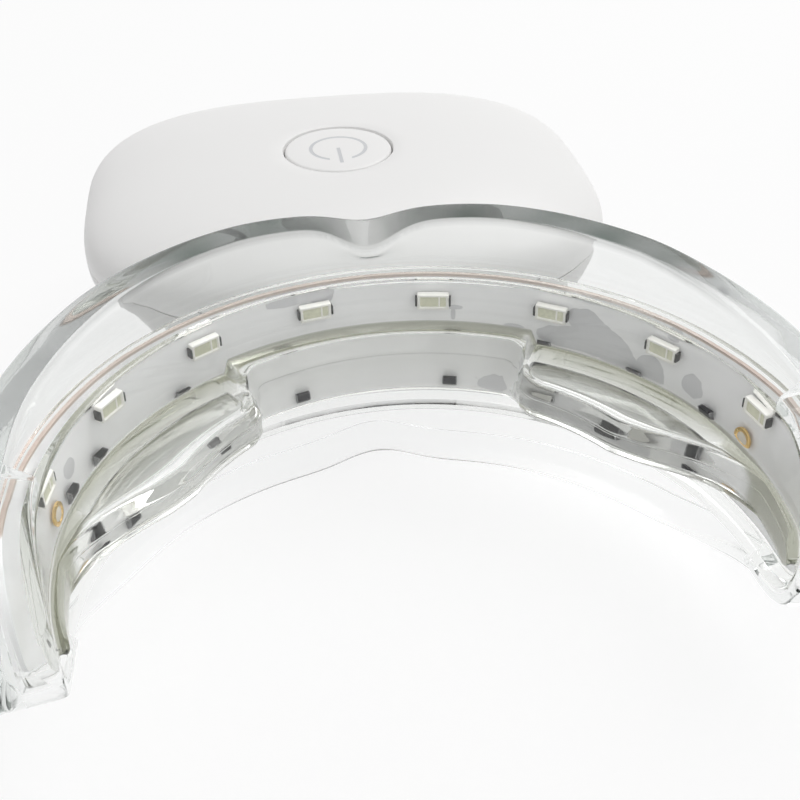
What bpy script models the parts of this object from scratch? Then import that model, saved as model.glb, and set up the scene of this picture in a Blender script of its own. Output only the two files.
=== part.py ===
"""Light mouthpiece for whitening teeth: a clear silicone bite piece with a row of lamps on a
flexible strip, held by an outer guard whose stem enters a smooth white housing with one button.

Metres, +Z up. Every piece is drawn in the bite frame, where X runs across, Y runs from the mouth
towards the housing and the lamp faces at the middle of the arch are at zero. An empty carries that
frame so that the object stands on its lower rim, over the world's origin.
"""
import math

import bmesh
import bpy
import numpy as np

# Arch: the plan curve of the lamp faces, measured along the curve from its middle
ARCH_RADIUS = 0.02562
ARCH_STRAIGHTENS_AT = 0.0587
ARCH_POWER = 8.05
ARCH_TABLE_STEPS = 600
ARM_ROUND_AT = 0.0395
END_SWEEP_DEG = 86
ALONG_STEPS = 25
END_STEPS = 7

# Clearances
FACE_GAP = 0.0003
SEAT_GAP = 0.00025
CUT_OVERRUN = 0.002

# Lamps, resistors and pads on the flexible strip
LAMP_PITCH = 0.00988
LAMPS_PER_SIDE = 4
LAMP_ROW_HEIGHT = 0.00375
LAMP_WIDTH = 0.0030
LAMP_HEIGHT = 0.0014
LAMP_DEPTH = 0.00055
LAMP_FRAME = 0.0002
LAMP_WINDOW_DEPTH = 0.00012
LAMP_TERMINAL_WIDTH = 0.00018
LAMP_TERMINAL_HEIGHT = 0.0008
RESISTOR_SIZE = (0.0013, 0.0005, 0.0011)
RESISTOR_STATION_SHARES = (-0.780, -0.673, -0.437, -0.178, 0.164, 0.360, 0.565, 0.744)
RESISTOR_UPS = (0.0002, 0.0002, 0.0002, -0.0035, -0.0035, 0.0002, 0.0002, 0.0002)
RESISTOR_EDGE = 0.00008
PAD_STATION_SHARE = 0.845
PAD_UP = 0.0005
PAD_RADIUS = 0.0009
PAD_DEPTH = 0.0002
STRIP_THICKNESS = 0.0003
STRIP_HALF_HEIGHT = 0.0055

# Flat tail that takes the strip's tracks through the stem to the board
TAIL_WIDTH = 0.009
TAIL_THICKNESS = 0.0003
TAIL_STEPS = 10
TAIL_SLOT_CLEARANCE = 0.0003

# Bite tray: a channel over the lamps with a shelf for the front teeth and two molar pads
TRAY_WALL = 0.0010
TRAY_RAIL = 0.0007
TRAY_EDGE_RADIUS = 0.00035
SHELF_HALF_THICKNESS = 0.0030
PAD_HALF_THICKNESS = 0.0015
SHELF_END_AT = 0.0133
SHELF_END_RAMP = 0.0009
BITE_REACH = 0.0080
BITE_STATION_SHARES = (0.0, 0.30, 0.345, 0.375, 0.43, 0.69, 0.76, 0.823, 0.868, 0.906, 0.95, 1.0)
BITE_REACH_SHARES = (0.545, 0.545, 0.65, 0.89, 0.985, 1.0, 0.93, 0.77, 0.56, 0.37, 0.27, 0.262)
BITE_FILLET = 0.0009
BITE_EDGE = 0.0013
BITE_RECESS = 0.0003
BITE_BEAD = 0.0002

# Outer guard: the wall behind the strip, with a flange and a rounded rim above and below
GUARD_WALL = 0.0020
GUARD_LIP = 0.0009
GUARD_END_BULGE = 0.0008
UPPER_RIM_HEIGHT = 0.0110
LOWER_RIM_DEPTH = 0.0140
RIM_STATION_SHARES = (0.0, 0.25, 0.506, 0.633, 0.76, 0.886, 0.95, 1.0)
UPPER_RIM_SHARES = (0.945, 1.0, 0.955, 0.89, 0.83, 0.795, 0.78, 0.775)
LOWER_RIM_SHARES = (1.0, 1.0, 1.0, 0.99, 0.91, 0.79, 0.74, 0.72)
UPPER_RIM_OUT = 0.0036
UPPER_RIM_OUT_SHARES = (1.0, 1.0, 1.0, 0.98, 0.9, 0.74, 0.68, 0.66)
LOWER_RIM_OUT = 0.0022
RIM_HALF_WIDTH = 0.00125
RIM_ROUNDING = 0.0013
RIM_UNDERCUT = 0.00035
RIM_ROOT_DROP = 0.0020
SHOULDER_HEIGHT = 0.0066
SHOULDER_OUT = 0.0038
SHOULDER_OUT_SHARES = (1.0, 1.0, 1.04, 1.13, 1.27, 1.29, 1.2, 1.15)
SHOULDER_UP_SHARES = (1.0, 1.0, 1.02, 1.03, 1.03, 1.02, 1.0, 1.0)
WALL_MIDDLE = 0.0035
FLANGE_END_AT = 0.0372
FLANGE_END_RAMP = 0.0009
UPPER_NOTCH_WIDTH = 0.0026
UPPER_NOTCH_NEAR = 0.0020
UPPER_NOTCH_FAR = 0.0007
LOWER_NOTCH_WIDTH = 0.0036
LOWER_NOTCH = 0.0014
STEM_WIDTH = 0.0170
STEM_HEIGHT = 0.0056
STEM_CORNER = 0.0020
STEM_REACH = 0.0103
STEM_ROOT = 0.00015

# Housing: an upper and a lower shell, superelliptic in plan and in height
HOUSING_WIDTH = 0.0504
HOUSING_DEPTH = 0.0404
HOUSING_HEIGHT = 0.0116
HOUSING_NEAR = 0.0061
HOUSING_UP = 0.0010
HOUSING_BASE_FLAT = 0.0003
PLAN_POWER = 2.9
EDGE_POWER = 2.5
RING_POINTS = 44
SHELL_WALL = 0.0016
SKIRT_WALL = 0.00075
LIP_WALL = 0.00075
LIP_RISE = 0.0012
SEAM_GAP = 0.0003
GASKET_THICKNESS = 0.0005
GASKET_WIDTH = 0.0007
OUTER_RING_SHARES = (1.0, 0.992, 0.965, 0.92, 0.85, 0.75, 0.62)
INNER_RING_SHARES = (0.95, 0.85, 0.66)

# Power button in the upper shell, over the switch
BUTTON_OFFSET = -0.0012
BUTTON_HOLE_RADIUS = 0.0054
BUTTON_CLEARANCE = 0.00035
BUTTON_TRAVEL = 0.0004
BUTTON_CROWN = 0.0001
BUTTON_EDGE = 0.00025
BUTTON_FLANGE_OVERLAP = 0.00085
BUTTON_FLANGE_THICKNESS = 0.0005
BUTTON_BOSS_RADIUS = 0.0016
BUTTON_BOSS_DROP = 0.00015
TURNED_POINTS = 36

# Board and what it carries
BOARD_SIDE_MARGIN = 0.0050
BOARD_STEM_GAP = 0.0023
BOARD_FAR_MARGIN = 0.0035
BOARD_THICKNESS = 0.0010
BOARD_UP = 0.00065
BOSS_RADIUS = 0.0014
BOSS_FROM_SIDE = 0.0050
BOSS_FROM_END = 0.0085
SWITCH_SIDE = 0.0060
SWITCH_CORNER = 0.0005
SWITCH_WELL_SHARE = 0.57
PLUNGER_RADIUS = 0.0016
PLUNGER_STANDS = 0.0006
CHIP_SIZE = (0.0050, 0.0050, 0.0009)
CHIP_OFFSET = (-0.0110, -0.0030)
CHARGER_SIZE = (0.0030, 0.0018, 0.0012)
CHARGER_OFFSET = (0.0090, 0.0075)
INDUCTOR_SIZE = (0.0042, 0.0042, 0.0022)
INDUCTOR_OFFSET = (0.0115, -0.0010)
CONNECTOR_SIZE = (0.0120, 0.0038, 0.0018)
PART_EDGE = 0.0002
BATTERY_SIDE_MARGIN = 0.0134
BATTERY_NEAR_MARGIN = 0.0097
BATTERY_SOCKET_GAP = 0.0026
BATTERY_CLEARANCE = 0.00035
BATTERY_EDGE = 0.0010
BATTERY_PAD_THICKNESS = 0.0005
BATTERY_PAD_SHARES = (0.64, 0.64)
SOCKET_WIDTH = 0.0089
SOCKET_HEIGHT = 0.0032
SOCKET_LENGTH = 0.0062
SOCKET_SHELL = 0.0003
SOCKET_BACK = 0.0010
SOCKET_RECESS = 0.0030
SOCKET_TONGUE_SIZE = (0.0062, 0.0040, 0.0007)
CORNER_STEPS = 4

# Worked out from the sizes above
STRIP_INNER = LAMP_DEPTH + SEAT_GAP
STRIP_OUTER = STRIP_INNER + STRIP_THICKNESS
CHANNEL_HALF = STRIP_HALF_HEIGHT + FACE_GAP
TRAY_HALF_HEIGHT = CHANNEL_HALF + TRAY_RAIL
TRAY_INNER = -FACE_GAP - TRAY_WALL
POCKET_HALF = TRAY_HALF_HEIGHT + SEAT_GAP
GUARD_INNER = STRIP_OUTER + FACE_GAP
GUARD_OUTER = GUARD_INNER + GUARD_WALL
GUARD_END_RADIUS = POCKET_HALF + GUARD_LIP
HOUSING_FAR = HOUSING_NEAR + HOUSING_DEPTH
HOUSING_MIDDLE_Y = HOUSING_NEAR + HOUSING_DEPTH / 2
BUTTON_Y = HOUSING_MIDDLE_Y + BUTTON_OFFSET
BOARD_NEAR = STEM_REACH + BOARD_STEM_GAP
BOARD_WIDTH = HOUSING_WIDTH - 2 * BOARD_SIDE_MARGIN
BOARD_DEPTH = HOUSING_FAR - BOARD_FAR_MARGIN - BOARD_NEAR
BOARD_Y = BOARD_NEAR + BOARD_DEPTH / 2
BOARD_TOP = BOARD_UP + BOARD_THICKNESS
PART_SEAT = BOARD_TOP + SEAT_GAP
SOCKET_FRONT = HOUSING_FAR - SOCKET_RECESS
SOCKET_REAR = SOCKET_FRONT - SOCKET_LENGTH
SOCKET_MIDDLE_UP = BOARD_UP - SEAT_GAP - SOCKET_HEIGHT / 2


def clear_scene():
    for item in list(bpy.data.objects):
        bpy.data.objects.remove(item, do_unlink=True)


def material(name, colour, roughness, metallic=0.0, alpha=1.0):
    made = bpy.data.materials.new(name)
    made.use_nodes = True
    shader = made.node_tree.nodes["Principled BSDF"]
    shader.inputs["Base Color"].default_value = (*colour, 1.0)
    shader.inputs["Roughness"].default_value = roughness
    shader.inputs["Metallic"].default_value = metallic
    shader.inputs["Alpha"].default_value = alpha
    made.diffuse_color = (*colour, alpha)
    return made


def add_object(name, mesh, look, smooth_deg=None):
    """Link a mesh as a named object, riding on the bite frame's empty."""
    thing = bpy.data.objects.new(name, mesh)
    bpy.context.scene.collection.objects.link(thing)
    thing.parent = BITE_FRAME
    if look is not None and not mesh.materials:
        mesh.materials.append(look)
    if smooth_deg is not None:
        mesh.shade_smooth()
        mesh.set_sharp_from_angle(angle=math.radians(smooth_deg))
    return thing


def finish_mesh(name, builder):
    bmesh.ops.recalc_face_normals(builder, faces=builder.faces)
    mesh = bpy.data.meshes.new(name)
    builder.to_mesh(mesh)
    builder.free()
    return mesh


def lofted_mesh(name, rings, joined=False):
    """Skin a stack of closed rings; the ends are capped, or joined to each other."""
    rings = np.asarray(rings)
    count, around = rings.shape[:2]
    builder = bmesh.new()
    grid = [[builder.verts.new(point) for point in ring] for ring in rings]
    last = count if joined else count - 1
    for row in range(last):
        here, there = grid[row], grid[(row + 1) % count]
        for column in range(around):
            after = (column + 1) % around
            builder.faces.new((here[column], here[after], there[after], there[column]))
    if not joined:
        builder.faces.new(grid[0])
        builder.faces.new(grid[-1])
    return finish_mesh(name, builder)


def boolean(thing, cutter, operation="DIFFERENCE"):
    """Cut or join with a guide solid, which itself stays out of the model."""
    step = thing.modifiers.new(cutter.name, "BOOLEAN")
    step.operation = operation
    step.solver = "EXACT"
    step.object = cutter
    cutter.hide_render = True
    cutter.display_type = "WIRE"


# The arch

def arch_table():
    """Plan curve by summing small steps: its bend fades from the front towards the arms."""
    reach = ARM_ROUND_AT + GUARD_END_RADIUS + CUT_OVERRUN
    along = np.linspace(0, reach, ARCH_TABLE_STEPS + 1)
    bend = np.exp(-(along / ARCH_STRAIGHTENS_AT) ** ARCH_POWER) / ARCH_RADIUS
    step = along[1]

    def summed(rate):
        return np.concatenate([[0.0], np.cumsum((rate[1:] + rate[:-1]) / 2 * step)])

    turn = summed(bend)
    return along, summed(np.cos(turn)), -summed(np.sin(turn)), turn


def on_arch(along, out, up):
    """World-shaped points at distances along the arch, out from the lamp faces, and up."""
    along, out, up = np.broadcast_arrays(along, out, up)
    table, across, back, turns = ARCH
    side = np.where(along < 0, -1.0, 1.0)
    far = np.abs(along)
    turn = np.interp(far, table, turns)
    x = side * (np.interp(far, table, across) + out * np.sin(turn))
    y = np.interp(far, table, back) + out * np.cos(turn)
    return np.stack([x, y, up], axis=-1)


def arch_turn(along):
    table, _, _, turns = ARCH
    return math.copysign(float(np.interp(abs(along), table, turns)), along)


def arch_stations(end_radius, marks=()):
    """Distances along the arch, closer together where the arm ends round off."""
    sweep = np.radians(np.linspace(0, END_SWEEP_DEG, END_STEPS + 1)[1:])
    right = np.concatenate([np.linspace(0, ARM_ROUND_AT, ALONG_STEPS + 1), marks,
                            ARM_ROUND_AT + end_radius * np.sin(sweep)])
    right = np.unique(right)
    return np.concatenate([-right[:0:-1], right])


def end_height(along, radius):
    """Half height of a band whose arm ends are full rounds of this radius."""
    past = np.clip(np.abs(along) - ARM_ROUND_AT, 0, None)
    return np.sqrt(np.clip(radius ** 2 - past ** 2, 0, None))


def ramp(value, start, length):
    """Smooth step from 0 at start to 1 at start plus length."""
    t = np.clip((value - start) / length, 0, 1)
    return t * t * (3 - 2 * t)


def by_station(along, station_shares, value_shares):
    """Read a table of shares along an arm with soft joins between its rows."""
    t = np.clip(np.abs(along) / ARM_ROUND_AT, 0, station_shares[-1])
    places = np.asarray(station_shares)
    values = np.asarray(value_shares)
    rates = np.diff(values) / np.diff(places)
    product = np.clip(rates[:-1] * rates[1:], 0, None)
    level = np.where(product > 0, rates[:-1] + rates[1:], 1)
    slopes = np.concatenate([[0], 2 * product / level, rates[-1:]])
    row = np.clip(np.searchsorted(places, t, side="right") - 1, 0, len(places) - 2)
    width = places[row + 1] - places[row]
    u = (t - places[row]) / width
    return ((1 + 2 * u) * (1 - u) ** 2 * values[row] + u * (1 - u) ** 2 * width * slopes[row]
            + u * u * (3 - 2 * u) * values[row + 1] - u * u * (1 - u) * width * slopes[row + 1])


def band_rings(inner, outer, half_height, stations):
    """Rectangular section swept along the arch, with full-round ends."""
    height = end_height(stations, half_height)
    corners = [(inner, -1), (outer, -1), (outer, 1), (inner, 1)]
    return np.stack([on_arch(stations, out, side * height) for out, side in corners], axis=1)


# Outer guard

def guard_rings():
    marks = (FLANGE_END_AT, FLANGE_END_AT + FLANGE_END_RAMP / 2, FLANGE_END_AT + FLANGE_END_RAMP)
    s = arch_stations(GUARD_END_RADIUS, marks)
    ended = ramp(np.abs(s), FLANGE_END_AT, FLANGE_END_RAMP)
    end = end_height(s, GUARD_END_RADIUS)
    top = UPPER_RIM_HEIGHT * by_station(s, RIM_STATION_SHARES, UPPER_RIM_SHARES)
    low = LOWER_RIM_DEPTH * by_station(s, RIM_STATION_SHARES, LOWER_RIM_SHARES)
    rim_out = UPPER_RIM_OUT * by_station(s, RIM_STATION_SHARES, UPPER_RIM_OUT_SHARES)
    shoulder_out = SHOULDER_OUT * by_station(s, RIM_STATION_SHARES, SHOULDER_OUT_SHARES)
    shoulder_up = SHOULDER_HEIGHT * by_station(s, RIM_STATION_SHARES, SHOULDER_UP_SHARES)
    upper_notch = np.exp(-(s / UPPER_NOTCH_WIDTH) ** 2)
    lower_notch = LOWER_NOTCH * np.exp(-(s / LOWER_NOTCH_WIDTH) ** 2)
    end_out = GUARD_OUTER + GUARD_END_BULGE
    end_middle = (TRAY_INNER + end_out) / 2
    end_half = (end_out - TRAY_INNER) / 2
    loop = []

    def point(out, up, end_out_share, end_up_share):
        """One corner of the section, blended into the plain rounded end of the arm."""
        at_end = end_middle + end_half * end_out_share
        loop.append(on_arch(s, (1 - ended) * out + ended * at_end,
                            (1 - ended) * up + ended * end * end_up_share))

    # Lower rim from its inner side to its outer side
    rim_base = -low + lower_notch
    point(LOWER_RIM_OUT - RIM_HALF_WIDTH, rim_base + RIM_ROUNDING, -1, -0.8)
    point(LOWER_RIM_OUT - RIM_HALF_WIDTH * 0.5, rim_base, -0.6, -1)
    point(LOWER_RIM_OUT + RIM_HALF_WIDTH * 0.5, rim_base, 0.6, -1)
    point(LOWER_RIM_OUT + RIM_HALF_WIDTH, rim_base + RIM_ROUNDING, 0.95, -0.85)
    point(LOWER_RIM_OUT + RIM_HALF_WIDTH - RIM_UNDERCUT, rim_base + RIM_ROOT_DROP, 1, -0.7)
    # Outer face up to the shoulder
    point(GUARD_OUTER, -SHOULDER_HEIGHT, 1, -0.55)
    point(GUARD_OUTER, -WALL_MIDDLE, 1, -0.4)
    point(GUARD_OUTER, WALL_MIDDLE, 1, 0.4)
    point(shoulder_out, shoulder_up, 1, 0.6)
    # Upper rim over its top; the notch is deeper on the mouth side
    for angle_deg in (-25, 15, 50, 80, 110, 145, 180):
        across = math.cos(math.radians(angle_deg))
        notch = upper_notch * (UPPER_NOTCH_FAR + (UPPER_NOTCH_NEAR - UPPER_NOTCH_FAR) * (1 - across) / 2)
        rise = RIM_ROUNDING * math.sin(math.radians(angle_deg))
        end_up = 0.8 + 0.2 * math.sin(math.radians(max(angle_deg, 0)))
        point(rim_out + RIM_HALF_WIDTH * across, top - notch - RIM_ROUNDING + rise, across, end_up)
    # Inner face down
    near_notch = UPPER_NOTCH_NEAR * upper_notch
    point(rim_out - RIM_HALF_WIDTH + RIM_UNDERCUT, top - near_notch - RIM_ROOT_DROP, -1, 0.7)
    point(GUARD_INNER, POCKET_HALF, -1, 0.6)
    point(GUARD_INNER, -POCKET_HALF, -1, -0.6)
    point(LOWER_RIM_OUT - RIM_HALF_WIDTH + RIM_UNDERCUT, rim_base + RIM_ROOT_DROP, -1, -0.7)
    return np.stack(loop, axis=1)


def rounded_box_rings(width, height, corner, start, end, up):
    """Rounded rectangle in X and Z, run from one Y to another."""
    loop = []
    for quarter, (sx, sz) in enumerate(((1, 1), (-1, 1), (-1, -1), (1, -1))):
        for step in range(CORNER_STEPS + 1):
            angle = math.radians(90 * (quarter + step / CORNER_STEPS))
            loop.append((sx * (width / 2 - corner) + corner * math.cos(angle),
                         up + sz * (height / 2 - corner) + corner * math.sin(angle)))
    return [[(x, y, z) for x, z in loop] for y in (start, end)]


def make_guard(look):
    guard = add_object("outer_guard", lofted_mesh("outer_guard", GUARD_RINGS), look, 40)
    stations = arch_stations(POCKET_HALF)
    pocket = band_rings(TRAY_INNER - CUT_OVERRUN, GUARD_INNER, POCKET_HALF, stations)
    boolean(guard, add_object("tray_pocket", lofted_mesh("tray_pocket", pocket), None))
    root = GUARD_INNER + STEM_ROOT
    stem = rounded_box_rings(STEM_WIDTH, STEM_HEIGHT, STEM_CORNER, root, STEM_REACH, 0)
    boolean(guard, add_object("stem_block", lofted_mesh("stem_block", stem), None), "UNION")
    slot_width = TAIL_WIDTH + 2 * TAIL_SLOT_CLEARANCE
    slot_height = TAIL_THICKNESS + 2 * TAIL_SLOT_CLEARANCE
    slot = rounded_box_rings(slot_width, slot_height, TAIL_SLOT_CLEARANCE, 0,
                             STEM_REACH + CUT_OVERRUN, 0)
    boolean(guard, add_object("tail_slot", lofted_mesh("tail_slot", slot), None))


# Bite tray

def make_tray(look):
    marks = (SHELF_END_AT, SHELF_END_AT + SHELF_END_RAMP / 2, SHELF_END_AT + SHELF_END_RAMP)
    s = arch_stations(TRAY_HALF_HEIGHT, marks)
    height = end_height(s, TRAY_HALF_HEIGHT)
    reach = BITE_REACH * by_station(s, BITE_STATION_SHARES, BITE_REACH_SHARES) + TRAY_INNER
    to_pad = ramp(np.abs(s), SHELF_END_AT, SHELF_END_RAMP)
    half = SHELF_HALF_THICKNESS + (PAD_HALF_THICKNESS - SHELF_HALF_THICKNESS) * to_pad
    half = np.minimum(half, height * 0.4)
    edge = np.minimum(BITE_EDGE, reach * 0.4)
    fillet_out = np.minimum(BITE_FILLET, reach * 0.25)
    fillet_up = np.minimum(BITE_FILLET, (height - half) * 0.4)
    recess = np.minimum(BITE_RECESS, half * 0.2) * np.minimum(1, reach / BITE_EDGE / 2)
    bead = np.minimum(BITE_BEAD, half * 0.1)
    corner = np.minimum(TRAY_EDGE_RADIUS, height * 0.2)
    nose = TRAY_INNER - reach
    upper = [
        (STRIP_OUTER, height),
        (TRAY_INNER + corner, height),
        (TRAY_INNER + corner * 0.3, height - corner * 0.3),
        (TRAY_INNER, height - corner),
        (TRAY_INNER, half + fillet_up),
        (TRAY_INNER - fillet_out * 0.3, half + fillet_up * 0.3),
        (TRAY_INNER - fillet_out, half),
        (TRAY_INNER - reach * 0.5, half - recess),
        (nose + edge * 1.7, half - recess * 0.6),
        (nose + edge, half + bead),
        (nose + edge * 0.3, half * 0.75),
    ]
    loop = [on_arch(s, out, up) for out, up in upper]
    loop.append(on_arch(s, nose, np.zeros_like(s)))
    loop += [on_arch(s, out, -up) for out, up in reversed(upper)]
    tray = add_object("bite_tray", lofted_mesh("bite_tray", np.stack(loop, axis=1)), look, 40)
    channel = band_rings(-FACE_GAP, STRIP_OUTER + CUT_OVERRUN, CHANNEL_HALF,
                         arch_stations(CHANNEL_HALF))
    boolean(tray, add_object("strip_channel", lofted_mesh("strip_channel", channel), None))


# Strip, its tail and what is soldered to it

def make_strip(look):
    rings = band_rings(STRIP_INNER, STRIP_OUTER, STRIP_HALF_HEIGHT,
                       arch_stations(STRIP_HALF_HEIGHT))
    add_object("led_flex_strip", lofted_mesh("led_flex_strip", rings), look, 40)


def make_tail(look):
    """Flat ribbon with a soft rise from the stem to the connector's mouth."""
    start = STRIP_OUTER + SEAT_GAP
    end = BOARD_NEAR + PART_EDGE
    rise = PART_SEAT + CONNECTOR_SIZE[2] / 2
    rings = []
    for y in (start, *np.linspace(STEM_REACH, end, TAIL_STEPS)):
        z = rise * float(ramp(y, STEM_REACH, end - STEM_REACH))
        low, high = z - TAIL_THICKNESS / 2, z + TAIL_THICKNESS / 2
        half = TAIL_WIDTH / 2
        rings.append([(-half, y, low), (half, y, low), (half, y, high), (-half, y, high)])
    add_object("flex_tail", lofted_mesh("flex_tail", rings), look)


def lamp_mesh():
    """Flat lamp: an outline with a terminal at each end and a sunk window facing the teeth."""
    half_x, half_z = LAMP_WIDTH / 2, LAMP_HEIGHT / 2
    body_x, term_z = half_x - LAMP_TERMINAL_WIDTH, LAMP_TERMINAL_HEIGHT / 2
    win_x, win_z = body_x - LAMP_FRAME, half_z - LAMP_FRAME
    quarter = [(half_x, term_z, win_x, term_z * 0.5), (body_x, term_z, win_x, term_z * 0.8),
               (body_x, half_z, win_x, win_z)]
    outline, window = [], []
    for sx, sz, order in ((1, 1, 1), (-1, 1, -1), (-1, -1, 1), (1, -1, -1)):
        for ox, oz, wx, wz in quarter[::order]:
            outline.append((sx * ox, sz * oz))
            window.append((sx * wx, sz * wz))
    front, back = 0.0, LAMP_DEPTH
    rings = [[(x, back, z) for x, z in outline], [(x, front, z) for x, z in outline],
             [(x, front, z) for x, z in window],
             [(x, front + LAMP_WINDOW_DEPTH, z) for x, z in window]]
    return lofted_mesh("lamp", rings)


def box_mesh(name, size, edge, seat_along_y=False):
    """Box with bevelled edges, centred in X; it stands on its seat or hangs behind its face."""
    width, depth, height = size
    builder = bmesh.new()
    bmesh.ops.create_cube(builder, size=1)
    for vert in builder.verts:
        lift = 0 if seat_along_y else 0.5
        push = 0.5 if seat_along_y else 0
        vert.co = (vert.co.x * width, (vert.co.y + push) * depth, (vert.co.z + lift) * height)
    bmesh.ops.bevel(builder, geom=list(builder.edges), offset=edge, segments=1,
                    affect="EDGES", clamp_overlap=True)
    return finish_mesh(name, builder)


def seat_on_strip(thing, along, up, face):
    """Place a piece on the strip, its back towards the strip and its face towards the teeth."""
    thing.location = on_arch(along, face, up).tolist()
    thing.rotation_euler = (0, 0, -arch_turn(along))


def make_strip_parts(lamp_look, resistor_look, copper_look):
    mesh = lamp_mesh()
    number = 0
    for side in (-1, 1):
        for step in range(LAMPS_PER_SIDE):
            number += 1
            lamp = add_object(f"led_{number}", mesh, lamp_look)
            seat_on_strip(lamp, side * LAMP_PITCH * (step + 0.5), LAMP_ROW_HEIGHT, 0)
    mesh = box_mesh("resistor", RESISTOR_SIZE, RESISTOR_EDGE, True)
    for number, share in enumerate(RESISTOR_STATION_SHARES):
        part = add_object(f"resistor_{number + 1}", mesh, resistor_look)
        face = STRIP_INNER - SEAT_GAP - RESISTOR_SIZE[1]
        seat_on_strip(part, share * ARM_ROUND_AT, RESISTOR_UPS[number], face)
    for side, name in ((-1, "copper_pad_left"), (1, "copper_pad_right")):
        disc = [(0, PAD_RADIUS), (PAD_DEPTH, PAD_RADIUS)]
        pad = add_object(name, turned_mesh(name, disc, TURNED_POINTS // 2, "Y"), copper_look)
        face = STRIP_INNER - SEAT_GAP - PAD_DEPTH
        seat_on_strip(pad, side * PAD_STATION_SHARE * ARM_ROUND_AT, PAD_UP, face)


def turned_mesh(name, profile, count, axis="Z"):
    """Turn a profile of (place along the axis, radius) pairs; both ends are flat discs."""
    turn = np.linspace(0, 2 * math.pi, count, endpoint=False)
    rings = []
    for place, radius in profile:
        a, b = radius * np.cos(turn), radius * np.sin(turn)
        run = np.full(count, place)
        rings.append(np.stack([a, b, run] if axis == "Z" else [a, run, b], axis=1))
    return lofted_mesh(name, rings)


# Housing

def plan_ring(half_width, half_depth, share=1.0):
    """Superelliptic outline about the housing's middle."""
    turn = np.linspace(0, 2 * math.pi, RING_POINTS, endpoint=False)
    c, s = np.cos(turn), np.sin(turn)
    x = half_width * share * np.sign(c) * np.abs(c) ** (2 / PLAN_POWER)
    y = half_depth * share * np.sign(s) * np.abs(s) ** (2 / PLAN_POWER)
    return np.stack([x, y + HOUSING_MIDDLE_Y], axis=1)


def dome(plan, wall):
    """Height of the housing's surface over its middle plane, a wall's thickness further in."""
    x = np.abs(plan[..., 0]) / (HOUSING_WIDTH / 2 - wall)
    y = np.abs(plan[..., 1] - HOUSING_MIDDLE_Y) / (HOUSING_DEPTH / 2 - wall)
    radius = (x ** PLAN_POWER + y ** PLAN_POWER) ** (1 / PLAN_POWER)
    rest = np.clip(1 - radius ** EDGE_POWER, 0, 1)
    return (HOUSING_HEIGHT / 2 - wall) * rest ** (1 / EDGE_POWER)


def level_ring(plan, up):
    return np.column_stack([plan, np.full(len(plan), up)])


def rim_ring(inset, up):
    return level_ring(plan_ring(HOUSING_WIDTH / 2 - inset, HOUSING_DEPTH / 2 - inset), up)


def share_at(height, wall):
    """Share of the plan at which the surface has this height over the middle plane."""
    return (1 - (height / (HOUSING_HEIGHT / 2 - wall)) ** EDGE_POWER) ** (1 / EDGE_POWER)


def surface_ring(share, wall, side, to_button=0.0, radius=0.0, limit=None):
    """Ring on the outer or inner surface, drawn towards the button's circle where asked."""
    plan = plan_ring(HOUSING_WIDTH / 2 - wall, HOUSING_DEPTH / 2 - wall, share)
    turn = np.linspace(0, 2 * math.pi, RING_POINTS, endpoint=False)
    circle = np.stack([radius * np.cos(turn), radius * np.sin(turn) + BUTTON_Y], axis=1)
    plan = plan * (1 - to_button) + circle * to_button
    height = dome(plan, wall)
    if limit is not None:
        height = np.minimum(height, limit)
    return np.column_stack([plan, HOUSING_UP + side * height])


def neck_cutter():
    width = STEM_WIDTH + 2 * SEAT_GAP
    height = STEM_HEIGHT + 2 * SEAT_GAP
    rings = rounded_box_rings(width, height, STEM_CORNER + SEAT_GAP, HOUSING_NEAR - CUT_OVERRUN,
                              STEM_REACH + CUT_OVERRUN, 0)
    return add_object("neck_opening", lofted_mesh("neck_opening", rings), None)


def make_upper_shell(look, neck):
    seam = HOUSING_UP + SEAM_GAP / 2
    shoulder = LIP_RISE + 2 * SEAT_GAP + GASKET_THICKNESS
    hole = BUTTON_HOLE_RADIUS
    widest = share_at(shoulder, SHELL_WALL)
    inner = [widest * share for share in INNER_RING_SHARES]
    rings = [rim_ring(0, seam)]
    rings += [surface_ring(share, 0, 1) for share in OUTER_RING_SHARES[1:-1]]
    rings.append(surface_ring(OUTER_RING_SHARES[-1], 0, 1, 0.35, hole * 2))
    rings.append(surface_ring(OUTER_RING_SHARES[-1], 0, 1, 1, hole * 1.2))
    rings.append(surface_ring(OUTER_RING_SHARES[-1], 0, 1, 1, hole))
    rings.append(surface_ring(OUTER_RING_SHARES[-1], SHELL_WALL, 1, 1, hole))
    rings.append(surface_ring(inner[-1], SHELL_WALL, 1, 0.35, hole * 2))
    rings += [surface_ring(share, SHELL_WALL, 1) for share in inner[-2::-1]]
    rings.append(surface_ring(widest, SHELL_WALL, 1))
    rings.append(rim_ring(SKIRT_WALL, HOUSING_UP + shoulder))
    rings.append(rim_ring(SKIRT_WALL, seam))
    shell = add_object("upper_shell", lofted_mesh("upper_shell", rings, True), look, 40)
    boolean(shell, neck)


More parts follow.
